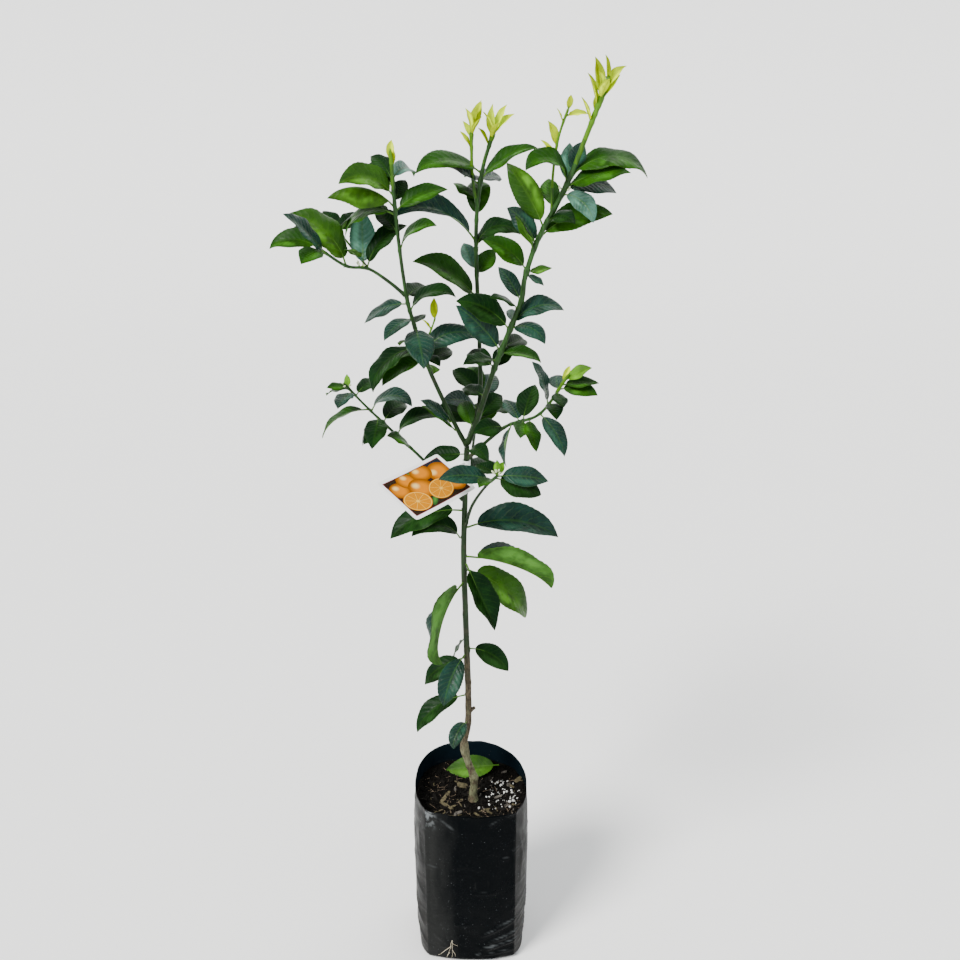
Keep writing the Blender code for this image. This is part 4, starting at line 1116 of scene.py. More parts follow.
def line_skin(places):
    """A search tree over a plain square tube through the places, as the frame's twigs have."""
    curve = bpy.data.curves.new("line", "CURVE")
    curve.dimensions = "3D"
    curve.bevel_depth = 1
    curve.bevel_resolution = 0
    curve.use_fill_caps = True
    spline = curve.splines.new("POLY")
    spline.points.add(len(places) - 1)
    for point, place in zip(spline.points, places):
        point.co = (*place.point, 1)
        point.radius = place.radius
    guide = add_object("line", curve)
    mesh = bpy.data.meshes.new_from_object(guide.evaluated_get(bpy.context.evaluated_depsgraph_get()))
    bpy.data.objects.remove(guide, do_unlink=True)
    tree = mesh_skin(mesh)
    bpy.data.meshes.remove(mesh)
    return tree


@functools.cache
def paths():
    """Every shoot's path by its name."""
    return {name: Path(name) for name in SHOOTS}


@functools.cache
def grown_plant():
    """Every leaf by the node it belongs to, placed in the frame's order and by its rule."""
    plant = Plant()
    for name in ("potting_mix", *[limb[0] for limb in LIMBS], "plant_tag"):
        plant.skins.append((name, mesh_skin(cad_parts[name].data)))
    single = []
    for name, shoot, start, end in LIMBS:
        for row in rows_in(shoot, start, end):
            if end is None or row[0] < end:
                plant.grow(paths()[shoot], row, name, single, seat=True)
    for name, stretches in MASSES:
        for k, (shoot, start, end) in enumerate(stretches):
            first = start + GAP / MM if k == 0 else start
            plant.skins.append((name, line_skin(paths()[shoot].stretch(first, end))))
    leaves = {name: [] for name, _ in MASSES}
    for name, stretches in MASSES:
        for shoot, start, end in stretches:
            for row in rows_in(shoot, start, end):
                plant.grow(paths()[shoot], row, name, leaves[name])
    return single, leaves


def finish_piece(name, cage, materials, replaced=(), sharp=50):
    """Turns a bmesh into a piece that rides on the body, with its materials and the nodes it hides."""
    mesh = mesh_of(name, cage)
    for material in materials:
        mesh.materials.append(material)
    mesh.shade_smooth()
    mesh.set_sharp_from_angle(angle=math.radians(sharp))
    piece = add_object(name, mesh)
    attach(piece, BODY)
    if replaced:
        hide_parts(*replaced)
    return piece


def add_blank(cage, blank):
    """Adds a blank's mesh to a bmesh and returns its new points and faces."""
    points, sides = len(cage.verts), len(cage.faces)
    cage.from_mesh(blank)
    cage.verts.ensure_lookup_table()
    cage.faces.ensure_lookup_table()
    return cage.verts[points:], cage.faces[sides:]


def new_plate(columns, rows):
    """A closed flat plate as a bmesh: X and Y from -1 to 1, Z -1 below and 1 above."""
    cage = bmesh.new()
    bmesh.ops.create_grid(cage, x_segments=columns, y_segments=rows, size=1)
    for point in cage.verts:
        point.co.z = -1
    for point in new_points(bmesh.ops.extrude_face_region(cage, geom=cage.faces[:], use_keep_orig=True)):
        point.co.z = 1
    return cage


@functools.cache
def blade_blank(columns, rows, mirrored=False):
    """A flat closed leaf blade: X from -1 to 1 across, Y from 0 to 1 along, Z -1 below and 1 above."""
    cage = new_plate(columns, rows)
    for point in cage.verts:
        point.co.y = (point.co.y + 1) / 2
    bmesh.ops.recalc_face_normals(cage, faces=cage.faces)
    layer = cage.loops.layers.uv.new("leaf")
    for face in cage.faces:
        face.material_index = 0 if face.calc_center_median().z > -0.5 else 1
        for loop in face.loops:
            across = -loop.vert.co.x if mirrored else loop.vert.co.x
            loop[layer].uv = ((across + 1) / 2, loop.vert.co.y)
    return mesh_of("blade blank", cage)


@functools.cache
def rod_blank(sides, rings):
    """A closed rod of radius 1 whose Z runs from 0 to 1, cut into rings."""
    cage = bmesh.new()
    bmesh.ops.create_cone(cage, cap_ends=True, segments=sides, radius1=1, radius2=1, depth=1)
    upright = [edge for edge in cage.edges if abs(edge.verts[0].co.z - edge.verts[1].co.z) > 0.5]
    bmesh.ops.subdivide_edges(cage, edges=upright, cuts=rings - 1)
    bmesh.ops.translate(cage, verts=cage.verts, vec=(0, 0, 0.5))
    cage.loops.layers.uv.new("leaf")
    return mesh_of("rod blank", cage)


@functools.cache
def ball_blank(level):
    """A ball of radius 1."""
    cage = bmesh.new()
    bmesh.ops.create_icosphere(cage, subdivisions=level, radius=1)
    cage.loops.layers.uv.new("leaf")
    return mesh_of("ball blank", cage)


@functools.cache
def chip_blank():
    """A splinter's blank: a cube with cut edges, which add_chips tapers to one end."""
    cage = bmesh.new()
    bmesh.ops.create_cube(cage, size=2)
    bmesh.ops.bevel(cage, geom=cage.edges[:], offset=0.35, offset_type="OFFSET", affect="EDGES", segments=1,
                    profile=0.5, material=-1)
    return mesh_of("chip blank", cage)


def frame_round(run, turn=0.0):
    """Two directions square to a run, turned about it."""
    side = Vector((0, 1, 0)) if abs(run.y) < 0.9 else Vector((1, 0, 0))
    a = side.cross(run).normalized()
    b = run.cross(a).normalized()
    return a * math.cos(turn) + b * math.sin(turn), b * math.cos(turn) - a * math.sin(turn)


def add_rod(cage, blank, centre_line, radius_at, material_at=None):
    """Wraps a rod blank round a line: centre_line and radius_at take the share of its length."""
    points, faces = add_blank(cage, blank)
    places = {}
    if material_at:
        for face in faces:
            face.material_index = material_at(face.calc_center_median().z)
    for point in points:
        share = round(point.co.z, 5)
        if share not in places:
            centre, run = centre_line(share)
            places[share] = (centre, *frame_round(run))
        centre, a, b = places[share]
        turn = math.atan2(point.co.y, point.co.x)
        radius = radius_at(share, turn)
        if point.co.x == 0 and point.co.y == 0:
            radius = 0
        point.co = centre + (a * math.cos(turn) + b * math.sin(turn)) * radius


LARGE_LEAF = 46 * MM
MIDDLE_LEAF = 30 * MM
VEIN_PAIRS = 10
VEIN_SLANT = 0.2
TIP_SHARE = 0.72
TEETH = 15


class Blade:
    """The fine surface of one leaf, worked out along its midrib."""

    def __init__(self, grown, young):
        shown = {"spread": YOUNG_SPREAD if young else BLADE_SPREAD, "fullness": BLADE_FULLNESS}
        shown.update(OPENED.get(grown.seed, {}))
        self.fullness = shown.pop("fullness")
        self.leaf = grown.leaf._replace(wide=grown.leaf.wide * shown.pop("spread"), **shown)
        draw = random.Random("blade " + grown.seed)
        self.wave = draw.uniform(0.03, 0.12)
        self.waves = draw.uniform(1.4, 2.6)
        self.phase = draw.uniform(0, math.tau)
        self.curl = draw.uniform(0.05, 0.3)
        self.twist = math.radians(draw.uniform(-9, 9))
        self.tip_bend = draw.uniform(0.1, 0.7)
        self.fold = math.radians(self.leaf.fold + (26 if young else 0))
        self.pucker = settings().leaf.vein_depth * (0.5 if young else 1.0)
        self.thick = settings().leaf.thickness * min(1.0, 0.55 + self.leaf.length / 0.12)
        self.sections = {}

    def section(self, along):
        """The midrib's point, the way across and the way up, with the blade's twist and bent tip."""
        key = round(along, 4)
        if key not in self.sections:
            share = LEAF_PETIOLE + (1 - LEAF_PETIOLE) * key
            middle, across, up = leaf_section(self.leaf, share)
            turn = self.twist * max(key, 0)
            bend = self.tip_bend * self.leaf.length * max(0.0, key - TIP_SHARE) ** 2
            self.sections[key] = (middle - up * bend, across * math.cos(turn) + up * math.sin(turn),
                                  up * math.cos(turn) - across * math.sin(turn))
        return self.sections[key]

    def half_width(self, along):
        """Half the blade's width: the frame's outline with fuller ends."""
        return self.leaf.wide / 2 * max(blade_width(along) ** self.fullness, 0.02)

    def point(self, across_share, along, face_side):
        """A point of the skin. The share runs from -1 to 1 across, and the side is -1 or 1."""
        middle, across, up = self.section(along)
        out = abs(across_share)
        half = self.half_width(along)
        if out > 0.99:
            half *= 1 + 0.022 * math.cos(math.tau * TEETH * along)
        rise = half * (math.sin(self.fold) * out ** 1.2 - self.curl * out ** 3)
        side = 1 if across_share > 0 else -1
        rise += half * self.wave * out * out * math.sin(math.tau * self.waves * along + self.phase + side)
        vein = abs(math.sin(math.pi * VEIN_PAIRS * (along - VEIN_SLANT * out)))
        rise += self.pucker * vein * min(1.0, out * 5) * (1 - out)
        edge = 0.35 if out > 0.99 else 1.0
        rise += face_side * self.thick / 2 * edge
        return middle + across * (across_share * half * math.cos(self.fold * 0.8)) + up * rise


def add_leaf(cage, grown, first, young=False):
    """Adds one leaf: a puckered blade and a stalk that runs on as its midrib."""
    blade = Blade(grown, young)
    leaf = blade.leaf
    # The map is mirrored so that the painted shade falls on the half away from the viewer
    mirrored = leaf_section(leaf, 0.5)[1].y < 0
    if leaf.length > LARGE_LEAF:
        blank, ribs = blade_blank(14, 40, mirrored), rod_blank(7, 26)
    elif leaf.length > MIDDLE_LEAF:
        blank, ribs = blade_blank(10, 28, mirrored), rod_blank(6, 18)
    else:
        blank, ribs = blade_blank(8, 18, mirrored), rod_blank(5, 12)
    points, faces = add_blank(cage, blank)
    for face in faces:
        face.material_index += first
    for point in points:
        u, v, side = point.co
        spread = math.copysign(abs(u) ** 0.8, u)
        point.co = blade.point(spread, 0.004 + 0.992 * v, side)
    stem = grown.root
    out = square_to(leaf.foot - stem.point, stem.run)
    root = stem.point + out * stem.radius * 0.35
    size = (0.5 + 5.5 * leaf.length) * MM
    joint = 0.07

    def centre_line(share):
        if share <= joint:
            ahead = leaf_section(leaf, 0.01)[0] - root
            return root.lerp(leaf.foot, share / joint), ahead.normalized()
        along = (share - joint) / (1 - joint) * 0.93
        start = (along - LEAF_PETIOLE) / (1 - LEAF_PETIOLE)
        here, _, up = blade.section(start)
        there = blade.section(start + 0.02)[0]
        return here - up * size * 0.25, (there - here).normalized()

    def radius_at(share, _):
        if share < 0.2:
            return size * (1.35 - 1.6 * share)
        return size * (0.16 + 0.87 * (1 - share) ** 1.5)

    add_rod(cage, ribs, centre_line, radius_at, lambda _: first + 2)


def add_bud(cage, place, out, size, index, stalk=1.0):
    """A small pointed bud on a stem."""
    points, faces = add_blank(cage, ball_blank(2))
    for face in faces:
        face.material_index = index
    run = (out + place.run * 0.9).normalized()
    a, b = frame_round(run)
    base = place.point + out * place.radius * 0.9 * stalk
    for point in points:
        x, y, z = point.co
        slim = 1 - 0.35 * max(z, 0)
        point.co = base + (a * x + b * y) * size * 0.62 * slim + run * (z + 0.4) * size


def bag_outline(share, front_steps, back_steps, inset=0.0):
    """The bag's plan at a share of its height: a flat creased front and rounded sides and back."""
    belly = BAG_BELLY * math.sin(math.pi * min(share, 1.0))
    half = BAG_FOOT_HALF + (BAG_MOUTH_HALF - BAG_FOOT_HALF) * share + belly - inset
    power = BAG_FOOT_SQUARENESS + (BAG_MOUTH_SQUARENESS - BAG_FOOT_SQUARENESS) * share
    front = BAG_FRONT_DEPTH + belly - inset
    crease = BAG_CREASE - inset
    bow = BAG_FRONT_BOW * (0.6 + 0.4 * share)
    edge = front - bow
    start = math.atan2(-edge, crease)
    corner = math.hypot(crease, edge)
    points = []
    for k in range(front_steps):
        across = -1 + 2 * k / front_steps
        points.append(Vector((crease * across, -front + bow * across * across, 0)))
    for k in range(back_steps):
        turn = start + (math.pi - 2 * start) * k / back_steps
        c, s = math.cos(turn), math.sin(turn)
        reach = half / (abs(c) ** power + abs(s) ** power) ** (1 / power)
        blend = min(1.0, 12 * k / back_steps, 12 * (back_steps - k) / back_steps)
        reach = reach * blend + corner * (1 - blend)
        points.append(Vector((reach * c, reach * s, 0)))
    return points


def rim_height(point):
    """The mouth's edge: highest at the back, and a little higher at the left than the right."""
    back = max(0.0, point.y / BAG_MOUTH_HALF)
    return (BAG_HEIGHT + BAG_BACK_RISE * back * back
            + BAG_RIM_WAVE * (0.9 * point.y - 0.55 * point.x) / BAG_MOUTH_HALF)


class Fold(NamedTuple):
    """A wrinkle on the unrolled film: from one point to another (mm right of centre, mm up)."""

    start: tuple
    end: tuple
    wide: float
    high: float


# The wrinkles that show in front, with the strongest at the lower right
FRONT_FOLDS = (
    Fold((12, 52), (62, 76), 2.2, 1.0), Fold((18, 36), (78, 60), 2.6, 1.1),
    Fold((8, 26), (90, 44), 2.4, 1.0), Fold((2, 14), (70, 22), 2.8, 0.9),
    Fold((30, 66), (96, 92), 2.0, 0.8), Fold((52, 96), (92, 124), 1.8, 0.7),
    Fold((-10, 10), (40, 8), 3.0, 0.7), Fold((66, 30), (120, 52), 2.6, 0.9),
    Fold((66, 70), (118, 100), 2.2, 0.7), Fold((-96, 110), (-66, 60), 2.4, 0.7),
    Fold((-100, 70), (-60, 26), 2.6, 0.9), Fold((-92, 150), (-68, 120), 2.0, 0.5),
    Fold((-52, 205), (-46, 90), 5.0, 0.6), Fold((-30, 230), (-28, 120), 6.0, -0.5),
    Fold((-58, 60), (-20, 24), 2.6, 0.6), Fold((30, 225), (34, 130), 6.0, 0.5),
    Fold((58, 240), (60, 120), 1.6, 0.8), Fold((-61, 250), (-61, 20), 1.3, 0.9),
    Fold((70, 235), (80, 170), 2.6, 0.7), Fold((76, 200), (70, 130), 2.4, 0.6),
    Fold((-80, 235), (-72, 180), 2.6, 0.6), Fold((-48, 262), (-20, 240), 2.2, 0.7),
    Fold((46, 262), (22, 248), 2.0, 0.6),
)


def seeded_folds(count):
    """Small wrinkles all round, mostly level and low on the bag."""
    draw = random.Random("folds")
    folds = []
    for _ in range(count):
        across = draw.uniform(-245, 245)
        up = 250 * draw.random() ** 1.5
        run = draw.uniform(14, 46)
        tilt = math.radians(draw.gauss(14, 24))
        folds.append(Fold((across, up), (across + run * math.cos(tilt), up + run * math.sin(tilt)),
                          draw.uniform(1.4, 3.0), draw.uniform(0.2, 0.6)))
    return folds


def fold_height(folds, across, up):
    """The film's height at a point of the unrolled bag, in shares of the fold depth."""
    total = 0.0
    for fold in folds:
        ax, ay = fold.start
        dx, dy = fold.end[0] - ax, fold.end[1] - ay
        size = dx * dx + dy * dy
        t = ((across - ax) * dx + (up - ay) * dy) / size
        if -0.15 < t < 1.15:
            off = abs((across - ax) * dy - (up - ay) * dx) / math.sqrt(size)
            if off < fold.wide * 4:
                ends = max(0.0, 1 - (2 * t - 1) ** 4)
                total += fold.high * ends * math.exp(-((off / fold.wide) ** 1.4))
    return total


def film_point(ring, k, level, folds, depth):
    """The film's point at a step round its plan and a level of its height."""
    here = ring[k]
    ahead, behind = ring[(k + 1) % len(ring)], ring[k - 1]
    outward = Vector((ahead.y - behind.y, behind.x - ahead.x, 0)).normalized()
    tuck = 1 - BAG_FOOT_TUCK * max(0.0, 1 - level / BAG_TUCK_LEVEL) ** 2
    height = rim_height(here) * level
    turn = math.atan2(here.x, -here.y)
    across = turn * BAG_MOUTH_HALF / MM if k > FRONT_STEPS else (-1 + 2 * k / FRONT_STEPS) * BAG_CREASE / MM
    up = height / MM
    relief = fold_height(folds, across, up) * depth
    soft = bumps(here.x * 22, here.y * 22, height * 11)
    fine = bumps(here.x * 75 + 9, here.y * 75, height * 60)
    relief += soft * 1.5 * MM * min(1.0, 4 * level + 0.1) + fine * 0.35 * MM
    rim = max(0.0, (level - 0.955) / 0.045)
    flare = math.exp(-(((across + 52) / 9) ** 2)) + 0.5 * math.exp(-(((across - 55) / 8) ** 2))
    relief += rim * rim * (flare * 4.5 * MM + 0.6 * MM)
    lift = rim * bumps(here.x * 60, here.y * 60, 3) * 1.6 * MM
    settle = min(1.0, level / 0.02)
    return Vector((here.x * tuck, here.y * tuck, height + lift)) + outward * relief * settle


def add_rootlets(folds, depth):
    """Fine pale roots that show through the film low on its front."""
    draw = random.Random("rootlets")
    cage = bmesh.new()
    lines = (((-28, 46), (-30, 32), (-33, 19), (-38, 7)), ((-28, 46), (-27, 30), (-28, 14), (-31, 4)),
             ((-30, 34), (-37, 24), (-45, 14), (-52, 9)), ((-27, 40), (-22, 36), (-17, 36)),
             ((-28, 26), (-24, 17), (-22, 8)), ((-31, 20), (-35, 12), (-34, 6)))
    for line in lines:
        points = []
        for low, high in zip(line, line[1:]):
            for share in (0, 0.5):
                x, z = (a + (b - a) * share for a, b in zip(low, high))
                level = z * MM / BAG_HEIGHT
                ring = bag_outline(level, FRONT_STEPS, BACK_STEPS)
                k = round((x * MM / BAG_CREASE + 1) / 2 * FRONT_STEPS)
                skin = film_point(ring, k, level, folds, depth)
                points.append(skin - Vector((0, 0.3 * MM, 0)))
        thick = draw.uniform(0.2, 0.36) * MM
        add_rod(cage, rod_blank(6, 18), smooth_line(points),
                lambda share, turn, thick=thick: thick * (1 - 0.75 * share) + 0.03 * MM)
    pale = earth_material("rootlet", (0.5, 0.43, 0.31), (0.75, 0.69, 0.55), 0.7, 900)
    finish_piece("rootlets", cage, (pale,))


class MANDARIN_OT_bag(bpy.types.Operator):
    """Build the planter bag: a creased and wrinkled film with a flat front"""

    bl_idname = "mandarin.build_bag"
    bl_label = "Planter Bag"

    def execute(self, context):
        look = settings().bag
        steps = FRONT_STEPS + BACK_STEPS
        cage = bmesh.new()
        bmesh.ops.create_cone(cage, cap_ends=False, segments=steps, radius1=1, radius2=1, depth=1)
        upright = [edge for edge in cage.edges if abs(edge.verts[0].co.z - edge.verts[1].co.z) > 0.5]
        bmesh.ops.subdivide_edges(cage, edges=upright, cuts=BAG_RINGS - 1)
        folds = [*FRONT_FOLDS, *seeded_folds(look.fold_count)]
        outlines = {}
        foot = []
        for point in cage.verts:
            level = round(point.co.z + 0.5, 5)
            k = round(math.atan2(point.co.y, point.co.x) / math.tau * steps) % steps
            if level not in outlines:
                outlines[level] = bag_outline(level, FRONT_STEPS, BACK_STEPS)
            ring = outlines[level]
            point.co = film_point(ring, k, level, folds, look.fold_depth)
            if level == 0:
                foot.append(point)
        for face in cage.faces:
            middle = face.calc_center_median()
            front = abs(middle.x) < BAG_CREASE and middle.y < 0
            face.material_index = 0 if front else 1
        base = bmesh.ops.contextual_create(cage, geom=foot)
        for face in base["faces"]:
            face.material_index = 1
        bmesh.ops.recalc_face_normals(cage, faces=cage.faces)
        cage.normal_update()
        # A map for the painted highlights along the folds: paler where the film's faces turn upward
        layer = cage.loops.layers.uv.new("fold light")
        for face in cage.faces:
            for loop in face.loops:
                loop[layer].uv = (min(1.0, max(0.0, 2.4 * loop.vert.normal.z - 0.28)), 0)
        black, dust = plain(look.black), plain(look.dust)
        # The inside takes the painted blue-black sheen for both its black and its dust
        bag = finish_piece("planter_film", cage, (film_material("film front", black, dust, 0.0),
                                                  film_material("film sides", black, dust, 1.0),
                                                  film_material("film inside", PAINTED_INSIDE_SHEEN, PAINTED_INSIDE_SHEEN, 0.4)),
                           ("planter_bag",), 60)
        wall = bag.modifiers.new("film", "SOLIDIFY")
        wall.thickness = look.film
        wall.offset = -1
        wall.material_offset = 2
        add_rootlets(folds, look.fold_depth)
        return {"FINISHED"}


@functools.cache
def mix_reaches():
    """How far the mix's top reaches from its centre, for each degree of the compass."""
    ring = bag_outline(MIX_TOP_SHARE, 96, 240, MIX_EDGE_INSET)
    ways = [(math.atan2(point.y, point.x), point) for point in ring]

    def nearest(turn):
        return min(ways, key=lambda way: abs(math.remainder(way[0] - turn, math.tau)))[1]

    return tuple(nearest(math.radians(turn)).length for turn in range(360))


def mix_reach(turn):
    """The reach in any direction, between those of whole degrees."""
    degree = math.degrees(turn) % 360
    low = int(degree) % 360
    reaches = mix_reaches()
    return reaches[low] + (reaches[(low + 1) % 360] - reaches[low]) * (degree - int(degree))


def mix_height(x, y):
    """The height of the mix's surface over a point of its plan."""
    share = min(1.0, math.hypot(x, y) / mix_reach(math.atan2(y, x)))
    off = math.hypot(x - TRUNK_FOOT_RIGHT, y)
    clear = min(1.0, max(0.0, (off - MIX_FLAT_RADIUS * 0.6) / MIX_FLAT_RADIUS))
    rough = settings().mix.roughness
    lumps = bumps(x * 60, y * 60, 1) + 0.6 * bumps(x * 160, y * 160, 5)
    lumps += 0.35 * bumps(x * 420, y * 420, 9)
    return MIX_HEIGHT + MIX_RISE_AT_WALL * share ** 3 + lumps * rough * clear - 0.8 * MM * (1 - clear)


def mix_spot(draw, spread=0.97):
    """A random point of the mix's plan, clear of the trunk."""
    while True:
        turn = draw.uniform(0, math.tau)
        reach = mix_reaches()[int(math.degrees(turn)) % 360]
        share = math.sqrt(draw.random()) * spread
        x, y = reach * share * math.cos(turn), reach * share * math.sin(turn)
        if math.hypot(x - TRUNK_FOOT_RIGHT, y) > TRUNK_CLEARANCE:
            return x, y


# Tan splinters that show in front of the trunk: place (mm right, mm away), turn, length and width in mm
SHOWN_CHIPS = (
    (-37, 2, 62, 26, 5.5), (-33, -16, -38, 20, 5), (-27, -18, 24, 13, 4), (-33, -6, 78, 9, 4),
    (-14, -14, -68, 24, 2.6), (-27, -40, 4, 20, 4.5), (19, -24, 6, 16, 3), (27, -33, -8, 14, 3),
    (10, -36, -14, 13, 3), (22, -44, 20, 14, 2.4), (36, -38, -30, 12, 2.4), (-45, -28, 30, 15, 3.4),
    (-12, 26, 15, 17, 9), (-2, -46, -25, 15, 2.4), (-40, -36, 50, 13, 3),
)


def holds_grit(x, y):
    """White grit lies mostly in a patch at the right."""
    near = math.hypot((x - 44 * MM) / (25 * MM), (y - 8 * MM) / (34 * MM))
    return near < 1 or bumps(x * 900, y * 900, 2) > 0.62


def add_ground(look):
    """The mix's lumpy top and its rim, which the bag hides."""
    cage = bmesh.new()
    bmesh.ops.create_grid(cage, x_segments=MIX_STEPS, y_segments=MIX_STEPS, size=1)
    for point in cage.verts:
        a, b = point.co.x, point.co.y
        share = max(abs(a), abs(b))
        turn = math.atan2(b, a)
        if share:
            near, far = sorted((abs(a), abs(b)))
            corner = math.atan2(near, far) / (math.pi / 4)
            turn += 0.12 * math.sin(4 * turn) * corner * (1 - corner)
        reach = mix_reach(turn)
        x, y = reach * share * math.cos(turn), reach * share * math.sin(turn)
        point.co = (x, y, mix_height(x, y))
    rim = [edge for edge in cage.edges if edge.is_boundary]
    for point in new_points(bmesh.ops.extrude_edge_only(cage, edges=rim)):
        point.co.z = MIX_HEIGHT - MIX_SKIRT
        point.co.x *= 0.98
        point.co.y *= 0.98
    bmesh.ops.holes_fill(cage, edges=[edge for edge in cage.edges if edge.is_boundary], sides=0)
    bmesh.ops.recalc_face_normals(cage, faces=cage.faces)
    earth = plain(look.earth)
    ground = earth_material("earth", scaled(earth, 0.5), scaled(earth, 2.0), 0.95, 700)
    finish_piece("mix_ground", cage, (ground,), ("potting_mix",), 80)


def add_chips(look, materials):
    """Bark chips: those that show, then those strewn by seed."""
    draw = random.Random("chips")
    cage = bmesh.new()
    rows = [(x * MM, y * MM, math.radians(turn), length * MM, wide * MM, 1)
            for x, y, turn, length, wide in SHOWN_CHIPS]
    for _ in range(look.chips):
        x, y = mix_spot(draw)
        length = draw.uniform(3, 13) * MM
        kind = draw.choices((0, 1, 2), (6, 1.4, 1.6))[0]
        rows.append((x, y, draw.uniform(0, math.tau), length, length * draw.uniform(0.15, 0.5), kind))
    for x, y, turn, length, wide, kind in rows:
        points, faces = add_blank(cage, chip_blank())
        for face in faces:
            face.material_index = kind
        tilt = draw.gauss(0, 0.22)
        thick = min(wide * draw.uniform(0.25, 0.6), 2.6 * MM)
        rest = Matrix.Translation((x, y, mix_height(x, y) + thick * 0.5 + abs(tilt) * length * 0.16))
        rest = rest @ Euler((draw.gauss(0, 0.3), tilt, turn)).to_matrix().to_4x4()
        slim = draw.uniform(0.35, 1.0)
        skew = draw.uniform(-0.35, 0.35)
        for point in points:
            px, py, pz = point.co
            py *= 1 - (1 - slim) * (px + 1) / 2
            bend = 0.12 * px * px
            point.co = rest @ Vector((px * length / 2, (py + skew * px) * wide / 2,
                                      pz * thick / 2 - bend * thick + draw.gauss(0, 0.06) * thick))
    finish_piece("mix_chips", cage, materials, (), 30)


def add_grains(name, count, seed, sizes, holds, material):
    """Small lumps strewn where holds says."""
    draw = random.Random(seed)
    cage = bmesh.new()
    made = 0
    while made < count:
        x, y = mix_spot(draw)
        if not holds(x, y):
            continue
        made += 1
        size = draw.uniform(sizes[0], 1) ** 2 * sizes[1] * MM
        points, _ = add_blank(cage, ball_blank(1))
        rest = Matrix.Translation((x, y, mix_height(x, y) + size * 0.35))
        rest = rest @ Euler([draw.uniform(0, 3) for _ in range(3)]).to_matrix().to_4x4()
        stretch = Vector((1, draw.uniform(0.55, 1), draw.uniform(0.5, 0.9)))
        for point in points:
            lump = 1 + 0.28 * noise.noise(point.co * 1.7 + Vector((made, 0, 0)))
            point.co = rest @ (point.co * stretch * size * lump)
    finish_piece(name, cage, (material,), (), 40)


def add_fibres(look):
    """Thin bent fibres that lie on the mix."""
    draw = random.Random("fibres")
    cage = bmesh.new()
    for _ in range(look.fibres):
        x, y = mix_spot(draw, 0.92)
        turn = draw.uniform(0, math.tau)
        run = draw.uniform(5, 16) * MM
        bow = draw.uniform(-0.3, 0.3) * run
        thick = draw.uniform(0.16, 0.42) * MM
        step = Vector((math.cos(turn), math.sin(turn), 0))
        side = Vector((-step.y, step.x, 0))
        points = []
        for k in range(4):
            share = k / 3 - 0.5
            spot = Vector((x, y, 0)) + step * run * share + side * bow * (0.25 - share * share)
            spot.z = mix_height(spot.x, spot.y) + draw.uniform(0.5, 2.4) * MM
            points.append(spot)
        add_rod(cage, rod_blank(5, 9), smooth_line(points),
                lambda share, turn, thick=thick: thick * (1.1 - share * 0.6))
    brown = earth_material("fibre", (0.09, 0.065, 0.045), (0.3, 0.23, 0.16), 0.8, 500)
    finish_piece("mix_fibres", cage, (brown,), (), 60)


class MANDARIN_OT_mix(bpy.types.Operator):
    """Build the potting mix: an uneven dark ground with chips, crumbs, fibres and white grit"""

    bl_idname = "mandarin.build_mix"
    bl_label = "Potting Mix"

    def execute(self, context):
        look = settings().mix
        add_ground(look)
        dark, tan = plain(look.dark_chip), plain(look.tan_chip)
        white = plain(look.white)
        add_chips(look, (
            earth_material("dark chip", scaled(dark, 0.5), scaled(dark, 1.5), 0.85, 260),
            earth_material("tan chip", scaled(tan, 0.5), scaled(tan, 1.35), 0.8, 320),
            earth_material("grey chip", (0.05, 0.045, 0.04), (0.16, 0.145, 0.125), 0.8, 300)))
        add_grains("mix_crumbs", look.crumbs, "crumbs", (0.7, 2.3), lambda x, y: True,
                   earth_material("crumb", scaled(dark, 0.3), scaled(dark, 1.3), 0.9, 420))
        add_grains("white_grit", look.grit, "grit", (0.5, 2.5), holds_grit,
                   earth_material("grit", scaled(white, 0.7), white, 0.8, 800))
        add_fibres(look)
        return {"FINISHED"}


# A pruned side shoot low on the trunk: from the path at this height, which way it leans and its size
STUB_PLACE = 150
STUB_RUN = Vector((0.62, -0.1, 0.78))
STUB_LENGTH = 13 * MM
STUB_RADIUS = 2.3 * MM
FORK_REACH = 8.5 * MM
LEAST_BARK_FACES = 1000
# Scars on the trunk: mm from its foot, turn and size in mm
SCARS = ((38, 20, 2.4), (60, 200, 1.6), (97, 330, 2.2), (122, 160, 1.5), (200, 340, 1.7), (232, 180, 1.4),
         (250, 0, 1.6), (305, 200, 1.2), (366, 340, 1.4), (435, 0, 1.4))


def bark_relief(turn, mm, depth):
    """The bark's height over the plain trunk: rough and fissured at the foot, faint higher up."""
    old = 1 / (1 + math.exp((mm - 175) / 32))
    x, y = math.cos(turn), math.sin(turn)
    fissure = bumps(x * 2.6, y * 2.6, mm * 0.045)
    lump = bumps(x * 1.3 + 7, y * 1.3, mm * 0.07)
    rough = bumps(x * 6, y * 6, mm * 0.35 + 3)
    height = old * (fissure * 0.9 + lump * 1.1 + rough * 0.55) + (1 - old) * (lump * 0.25 + rough * 0.1)
    return height * depth


def first_mm(path):
    """Where a bough's skin starts: just inside the stem it grows from."""
    return 0.6 if path.name in ("centre", "left", "right") else 0.2


def plain_object(name, cage):
    """An object to join into the bark."""
    bmesh.ops.recalc_face_normals(cage, faces=cage.faces)
    return add_object(name + "_part", mesh_of(name, cage))


